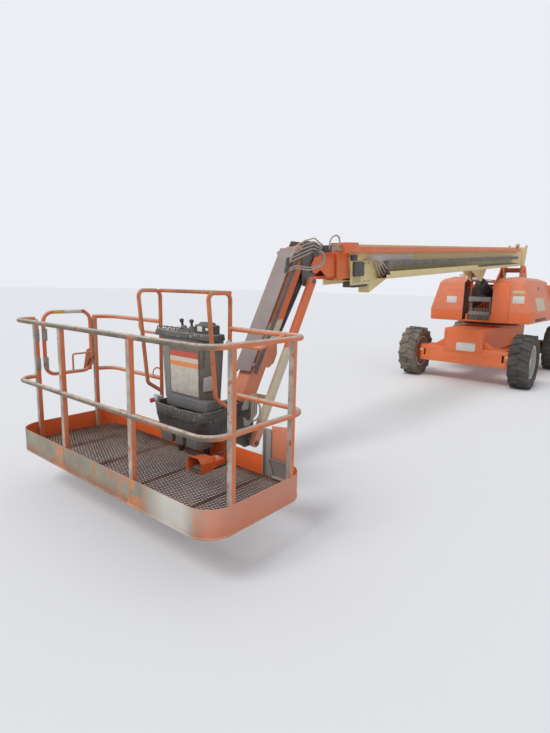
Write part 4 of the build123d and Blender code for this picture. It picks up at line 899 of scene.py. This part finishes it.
# Gate: one loop of tube that swings in on the near end post, with a banded top, bolted hinge
# plates, a drop bar to grip, and a latch on a gusset by the far post.
gate_low, gate_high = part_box("gate")
gate_y = (gate_low.y + gate_high.y) / 2
hinge_x, latch_x = gate_high.x - 0.017, gate_low.x + 0.017
sill, head = gate_low.z + 0.017, gate_high.z - 0.017
middle_x = (hinge_x + latch_x) / 2


def on_gate(aside, *places):
    return [(x, gate_y + aside, z) for x, z in places]


loop = bent_tube("gate_loop", on_gate(0, (middle_x, sill), (hinge_x, sill), (hinge_x, head), (latch_x, head),
        (latch_x, sill), (middle_x + 0.001, sill)), 0.09, 0.017)
drop = bent_tube("drop_bar", on_gate(0, (latch_x + 0.19, sill), (latch_x + 0.19, sill + 0.17),
        (latch_x, sill + 0.17)), 0.02, 0.009, 12)
gusset = plate("gusset", on_gate(-0.003, (latch_x, sill), (latch_x + 0.09, sill),
        (latch_x + 0.05, sill + 0.2), (latch_x, sill + 0.22)), (0, 0.006, 0), 0.001)
finish_group("gate_frame", [loop, drop, gusset], rail_paint, "gate", "orange_paint", "gate")
for name, colour, start, end in (("band_yellow", (0.75, 0.47, 0.08), 0.1, 0.2),
        ("band_white", (0.66, 0.64, 0.6), 0.2, 0.36), ("band_red", (0.5, 0.13, 0.09), 0.36, 0.4)):
    band = rod(name, *on_gate(0, (hinge_x - start, head), (hinge_x - end, head)), 0.0176, 20, 0.0003)
    tape = worn_paint(name, colour, shade(colour, 0.8), (0.35, 0.28, 0.22), chips=0.6, dust=0.2)
    finish_piece(band, tape, "gate", "orange_paint")

BOLT_PLACES = ((-0.01, -0.038), (0.01, -0.018), (-0.01, 0.002), (0.01, 0.022), (-0.01, 0.042))
for body, x in (("gate", hinge_x), ("platform", NEAR_END_X)):
    parts = []
    for z in (1.085, 1.345):
        parts.append(edged_box("hinge_plate", (x - 0.021, gate_y + 0.019, z - 0.055),
                (x + 0.021, gate_y + 0.025, z + 0.055), 0.0015))
        parts += studs([(x + along, gate_y + 0.024, z + up) for along, up in BOLT_PLACES], (0, 0.004, 0),
            0.0055)
    finish_group("hinge_plates_" + body, parts, steel, body, "orange_paint")
latch = bent_tube("gate_latch", on_gate(0.014, (latch_x + 0.05, sill + 0.05), (latch_x + 0.02, sill + 0.11),
        (latch_x - 0.02, sill + 0.13)), 0.02, 0.006, 10)
finish_piece(latch, dark, "gate", "dark_steel")


# Console: a sheet-metal pillar between the guards, its sloped flanks folded back from the front face,
# with a wide control plate on top, a moulded tray for tools, and a blanked instruction sheet.
console_low, console_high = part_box("console")
BACK = console_low.x + 0.02
SIDE = (console_low.y + console_high.y) / 2 + 0.025
PLATE_LOW, PLATE_TOP = 1.398, 1.447
TRAY_LOW, TRAY_TOP = FLOOR + 0.36, FLOOR + 0.448
console_grey = worn_paint("console_grey", (0.115, 0.118, 0.115), (0.17, 0.17, 0.165), (0.05, 0.045, 0.04),
    chips=0.66, dust=0.3, gloss=0.55, dust_colour=(0.22, 0.19, 0.16))
flank_grey = worn_paint("flank_grey", (0.2, 0.2, 0.195), (0.27, 0.265, 0.25), (0.08, 0.07, 0.06), dust=0.3,
    gloss=0.55)
brown_grey = worn_paint("brown_grey", (0.085, 0.07, 0.062), (0.13, 0.11, 0.1), (0.2, 0.18, 0.16),
    chips=0.64, dust=0.3)
scuffed = worn_paint("scuffed_black", (0.035, 0.034, 0.033), (0.075, 0.07, 0.065), (0.42, 0.4, 0.36),
    chips=0.585, dust=0.5, gloss=0.6, dust_colour=(0.3, 0.28, 0.25))


def at(x, y, z):
    """A place on the console, from the middle of its back."""
    return Vector((BACK + x, SIDE + y, z))


def plan(z, *corners):
    return [at(x, y, z) for x, y in corners]


def box_at(low, high, edge, segments=2):
    return edged_box("box", at(*low), at(*high), edge, segments)


left_side = shaped_block("console_left", plan(TRAY_TOP + 0.02, (0.002, -0.3), (0.085, -0.3), (0.095, -0.19),
        (0.002, -0.19)), plan(PLATE_LOW + 0.002, (0.002, -0.33), (0.095, -0.33), (0.108, -0.19),
        (0.002, -0.19)), 0.005)
finish_piece(left_side, flank_grey, *CONSOLE, "console")
middle = shaped_block("console_front", plan(TRAY_TOP - 0.03, (0.001, -0.2), (0.105, -0.2), (0.118, -0.185),
        (0.118, 0.18), (0.001, 0.18)), plan(PLATE_LOW + 0.001, (0.001, -0.205), (0.118, -0.205),
        (0.128, -0.19), (0.128, 0.185), (0.001, 0.185)), 0.005)
step = box_at((0.0, -0.205, TRAY_TOP - 0.02), (0.15, 0.3, TRAY_TOP + 0.075), 0.01, 3)
finish_group("console_body", [middle, step], console_grey, *CONSOLE)
flank = shaped_block("flank", plan(TRAY_TOP + 0.05, (0.001, 0.182), (0.117, 0.182), (0.03, 0.3),
        (0.001, 0.3)), plan(PLATE_LOW + 0.001, (0.001, 0.187), (0.127, 0.187), (0.03, 0.335),
        (0.001, 0.335)))
lip = shaped_block("lip", plan(1.17, (0.01, 0.186), (0.124, 0.186), (0.105, 0.216), (0.01, 0.216)),
    plan(PLATE_LOW - 0.01, (0.01, 0.19), (0.13, 0.19), (0.125, 0.225), (0.01, 0.225)), 0.005)
finish_group("console_flank", [flank, lip], brown_grey, *CONSOLE)

# The sheet on the console's front keeps its bands of colour and none of its words.
paint = Paint("instruction_sheet")
bands = paint.over(paint.patches(24, 0.45, 0.62), (0.58, 0.55, 0.47), (0.5, 0.46, 0.385))
for low, high, colour in ((1.165, 1.205, (0.72, 0.26, 0.08)), (1.205, 1.243, (0.6, 0.52, 0.42)),
        (1.243, 1.32, (0.5, 0.085, 0.05))):
    strip = paint.times(paint.along("Z", low - 0.001, low + 0.001), paint.along("Z", high + 0.001,
            high - 0.001))
    bands = paint.over(strip, bands, colour)
stain = paint.times(paint.along("Z", 1.0, 0.93), paint.patches(12, 0.4, 0.6))
bands = paint.over(stain, bands, (0.36, 0.31, 0.25))
sheet = plate("instruction_sheet", [at(0.1195, -0.17, 0.935), at(0.1195, 0.172, 0.935),
        at(0.128, 0.176, 1.29), at(0.128, -0.175, 1.29)], (0.0035, 0, 0), 0.001)
finish_piece(sheet, paint.done(bands, 0.5, (paint.patches(90, 0.3, 0.7), 0.0003)), *CONSOLE)
small_plate = shaped_block("flank_plate", [at(0.108, 0.226, 0.985), at(0.118, 0.218, 0.985),
        at(0.07, 0.272, 1.0), at(0.06, 0.28, 1.0)], [at(0.108, 0.234, 1.1), at(0.118, 0.226, 1.1),
        at(0.07, 0.282, 1.125), at(0.06, 0.29, 1.125)], 0.002)
finish_piece(small_plate, worn_paint("flank_label", (0.34, 0.32, 0.29), (0.26, 0.24, 0.22),
        (0.12, 0.1, 0.09)), *CONSOLE)

top = shaped_block("control_plate", plan(PLATE_LOW, (-0.02, -0.385), (0.125, -0.385), (0.145, -0.36),
        (0.145, 0.3), (0.125, 0.332), (-0.02, 0.332)), plan(PLATE_TOP, (-0.02, -0.375), (0.118, -0.375),
        (0.135, -0.355), (0.135, 0.295), (0.118, 0.322), (-0.02, 0.322)), 0.008, 3)
finish_piece(top, scuffed, *CONSOLE)
rubber = worn_paint("lever_rubber", (0.025, 0.025, 0.026), (0.06, 0.06, 0.058), (0.02, 0.02, 0.02), dust=0.45,
    gloss=0.6)
BOOT = [(0.0005, 0), (0.05, 0), (0.048, 0.008), (0.036, 0.016), (0.038, 0.022), (0.026, 0.032),
    (0.028, 0.038), (0.016, 0.048), (0.0005, 0.05)]
GRIP = [(0.0005, 0.045), (0.011, 0.047), (0.01, 0.07), (0.019, 0.085), (0.017, 0.1), (0.0005, 0.106)]
controls = []
for y in (-0.085, 0.02):
    foot = at(0.055, y, PLATE_TOP - 0.002)
    controls.append(turned_shape("boot", BOOT, foot, (0, 0, 1), 24))
    controls.append(turned_shape("grip", GRIP, foot, (0.1, y * 2, 1), 20))
controls.append(box_at((0.008, 0.115, PLATE_TOP - 0.002), (0.112, 0.3, PLATE_TOP + 0.07), 0.01, 3))
controls.append(shaped_block("gauge_hood", plan(PLATE_TOP + 0.06, *oblong(0.02, 0.1, 0.13, 0.285)),
        plan(PLATE_TOP + 0.09, *oblong(0.035, 0.08, 0.145, 0.27)), 0.006))
for k in range(7):
    foot = at(0.03 + 0.052 * (k % 2), -0.335 + 0.034 * k, PLATE_TOP - 0.003)
    controls += studs([foot], (0, 0, 0.01), 0.009)
    controls += studs([foot], (0.006 - 0.003 * k, 0, 0.03), 0.0035, 10)
controls.append(bent_tube("switch_guard", [at(0.128, y, PLATE_TOP + up) for y,
        up in ((-0.34, -0.004), (-0.34, 0.03), (0.08, 0.03), (0.08, -0.004))], 0.02, 0.005, 10))
finish_group("console_controls", controls, rubber, *CONSOLE)
white = worn_paint("white_label", (0.72, 0.7, 0.66), (0.6, 0.58, 0.54), (0.3, 0.27, 0.24), dust=0.15)
labels = [box_at((0.111, 0.15, PLATE_TOP + 0.018), (0.1135, 0.205, PLATE_TOP + 0.058), 0.0008),
    box_at((0.111, 0.245, PLATE_TOP + 0.03), (0.1135, 0.275, PLATE_TOP + 0.05), 0.0008),
    box_at((0.02, -0.3, PLATE_TOP - 0.001), (0.1, -0.23, PLATE_TOP + 0.0012), 0.0006)]
finish_group("console_labels", labels, white, *CONSOLE)


# Tool tray: a moulded trough bowed out round the console's foot, on a black base with two notches
# in its skirt. Boots and tools have scuffed its front to white.
bow = [(0.0, -0.325), (0.14, -0.325), (0.195, -0.305), (0.222, -0.24), (0.235, -0.1), (0.237, 0.05),
    (0.232, 0.2), (0.215, 0.29), (0.185, 0.318), (0.14, 0.325), (0.0, 0.325)]
tray = outline_shape("tool_tray", plan(TRAY_LOW, *[(x * 0.96, y * 0.97) for x, y in bow]))
wall_top = plan(TRAY_TOP, *bow)
push((0, 0, TRAY_TOP - TRAY_LOW))
move_picked(tray, lambda co: min(wall_top, key=lambda p: (p - co).length))
bpy.ops.mesh.inset(thickness=0.013)
push((0, 0, -0.068))
break_edges(0.0035)
end_shape(tray)
rib = bent_tube("tray_rib", plan(TRAY_TOP - 0.004, (0.01, -0.3255), (0.205, -0.323), (0.232, 0.05),
        (0.205, 0.3235), (0.01, 0.3255)), 0.06, 0.0045, 10)
finish_group("tool_tray", [tray, rib], scuffed, *CONSOLE)
black = worn_paint("black_steel", (0.022, 0.022, 0.023), (0.05, 0.048, 0.046), (0.09, 0.06, 0.045), dust=0.3)
under = shaped_block("tray_base", plan(TRAY_LOW - 0.13, (0.01, -0.25), (0.185, -0.25), (0.195, 0.22),
        (0.12, 0.3), (0.01, 0.3)), plan(TRAY_LOW + 0.004, (0.01, -0.29), (0.205, -0.28), (0.215, 0.27),
        (0.15, 0.305), (0.01, 0.305)), 0.008)
legs = [box_at((0.016, y - 0.02, FLOOR + 0.0005), (0.056, y + 0.02, TRAY_LOW - 0.1), 0.003)
    for y in (-0.15, 0.17)]
finish_group("tray_base", [under, *legs], black, *CONSOLE)
teeth = [(0.0, -0.225), (0.0, -0.09), (0.035, -0.09), (0.035, -0.045), (0.0, -0.045), (0.0, 0.045),
    (0.035, 0.045), (0.035, 0.09), (0.0, 0.09), (0.0, 0.215)]
skirt_outline = [(0.185 - x, y) for x, y in teeth] + [(0.13, 0.245), (0.03, 0.245), (0.03, -0.225)]
skirt = plate("console_skirt", plan(FLOOR + 0.125, *skirt_outline), (0, 0, 0.125), 0.003)
finish_piece(skirt, console_grey, *CONSOLE)

red = worn_paint("red_cap", (0.46, 0.015, 0.02), (0.5, 0.06, 0.06), (0.12, 0.02, 0.02), dust=0.15, gloss=0.3)
silver = worn_paint("silver_bracket", (0.55, 0.56, 0.58), (0.4, 0.4, 0.42), (0.2, 0.18, 0.16), dust=0.15,
    gloss=0.3)
cap = turned_shape("red_cap", [(0.0005, 0), (0.021, 0), (0.022, 0.012), (0.02, 0.03), (0.013, 0.038),
        (0.0005, 0.04)], at(0.195, -0.335, TRAY_TOP - 0.02), (0.2, -0.3, 1), 20)
finish_piece(cap, red, *CONSOLE)
bracket = [box_at((0.15, -0.335, TRAY_TOP - 0.015), (0.185, -0.29, TRAY_TOP + 0.045), 0.003),
    rod("bracket_pin", at(0.16, -0.36, TRAY_TOP + 0.035), at(0.16, -0.25, TRAY_TOP + 0.042), 0.009, 14)]
finish_group("silver_bracket", bracket, silver, *CONSOLE)


# Foot switch: a pedal under a folded orange hood, open towards the operator with a flared mouth, and
# a gland at its back whose cable loops to the console.
pedal_low, pedal_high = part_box("foot_switch")
pedal_y = (pedal_low.y + pedal_high.y) / 2


def by_mouth(x, y, up):
    """A place on the foot switch, from the floor at the middle of its mouth."""
    return Vector((pedal_high.x + x, pedal_y + y, FLOOR + up))


def by_back(x, y, up):
    return Vector((pedal_low.x + x, pedal_y + y, FLOOR + up))


def hood_ring(x, half, top):
    return [by_mouth(x, y, up) for y, up in ((-half, 0.004), (-half, top - 0.035), (0.03 - half, top),
            (half - 0.03, top), (half, top - 0.035), (half, 0.004))]


def bearing(place):
    """Which way a place lies from the hood's middle line."""
    return (place - Vector((place.x, pedal_y, FLOOR + 0.06))).normalized()


hood = outline_shape("pedal_hood", hood_ring(-0.003, 0.083, 0.123))
for x, half, top in ((-0.022, 0.072, 0.112), (-0.15, 0.068, 0.1), (-0.195, 0.06, 0.075)):
    push((-0.001, 0, 0))
    ring = hood_ring(x, half, top)
    move_picked(hood, lambda co: min(ring, key=lambda p: (bearing(p) - bearing(co)).length))
pick_faces(hood, lambda face: abs(face.normal.x) > 0.9 and face.calc_center_median().x > pedal_high.x - 0.01)
hollow()
end_shape(hood)
apply_modifier(hood, "SOLIDIFY", thickness=0.004, offset=-1)
apply_modifier(hood, "BEVEL", width=0.0012, limit_method="ANGLE")
rear = edged_box("pedal_rear", by_back(0.002, -0.055, 0.001), by_mouth(-0.185, 0.055, 0.062), 0.008, 3)
pedal_paint = worn_paint("pedal_paint", (0.82, 0.135, 0.02), (0.72, 0.16, 0.04), (0.35, 0.2, 0.12),
    chips=0.66, dust=0.12)
finish_group("pedal_hood", [hood, rear], pedal_paint, *CAGE, "foot_switch")
tread = shaped_block("pedal", [by_mouth(x, y, 0.012) for x, y in oblong(-0.14, -0.03, -0.05, 0.05)],
    [by_mouth(-0.14, -0.05, 0.06), by_mouth(-0.03, -0.05, 0.024), by_mouth(-0.03, 0.05, 0.024),
        by_mouth(-0.14, 0.05, 0.06)], 0.003)
bottom = edged_box("pedal_plate", by_back(0.004, -0.07, 0.0005), by_mouth(-0.006, 0.07, 0.013), 0.002)
lead = bent_tube("pedal_cable", [by_back(*place) for place in ((0.05, 0.02, 0.06), (0.05, 0.02, 0.1),
        (0.02, 0.1, 0.13), (-0.02, 0.05, 0.19), (0.005, -0.13, 0.22))], 0.03, 0.006, 12)
finish_group("pedal_and_cable", [tread, bottom, lead], black, *CONSOLE)
gland = rod("pedal_gland", by_back(0.05, 0.02, 0.058), by_back(0.05, 0.02, 0.08), 0.014, 6)
finish_piece(gland, silver, *CONSOLE)


# Far side of the cage: a galvanised channel and an orange plate by the corner with a socket box
# under it, and a lanyard ring on the middle rail.
galvanised = worn_paint("galvanised", (0.3, 0.29, 0.275), (0.38, 0.36, 0.33), (0.2, 0.13, 0.1), gloss=0.5)
wall_x = INNER + 0.012
channel = plate("channel", [(wall_x + x, 0.862 + y, FLOOR + 0.001) for x,
        y in ((0, 0), (0.034, 0), (0.034, 0.006), (0.006, 0.006), (0.006, 0.072), (0.034, 0.072),
        (0.034, 0.078), (0, 0.078))], (0, 0, 0.375), 0.0012)
socket = outline_shape("socket_box", upright(wall_x + 0.032, *oblong(0.945, 1.118, 0.405, 0.56)))
bpy.ops.mesh.inset(thickness=0.03)
push((-0.01, 0, 0))
end_shape(socket)
apply_modifier(socket, "SOLIDIFY", thickness=0.012, offset=0)
finish_group("end_channel", [channel, socket], galvanised, *CAGE)
panel = [plate("end_panel", upright(wall_x + 0.012, (0.935, 0.555), (1.125, 0.555), (1.125, 0.825),
        (0.935, 0.8)), (0.006, 0, 0), 0.0015)]
panel += studs(upright(wall_x + 0.017, (0.965, 0.6), (1.095, 0.6), (0.965, 0.775), (1.095, 0.79)),
    (0.006, 0, 0), 0.008)
panel_paint = worn_paint("panel_paint", (0.7, 0.22, 0.11), (0.66, 0.27, 0.17), (0.2, 0.1, 0.06),
    chips=0.66, dust=0.12)
finish_group("end_panel", panel, panel_paint, *CAGE)
ring = start_shape("lanyard_ring", bpy.ops.mesh.primitive_torus_add, major_radius=0.042, minor_radius=0.006,
    major_segments=40, minor_segments=12, rotation=(0, pi / 2, 0.7),
    location=(far_x + 0.025, GUARD_RIGHT - 0.03, MIDDLE_RAIL + 0.048))
bpy.ops.transform.resize(value=(1, 0.8, 1.15))
finish_piece(end_shape(ring), panel_paint, *CAGE)
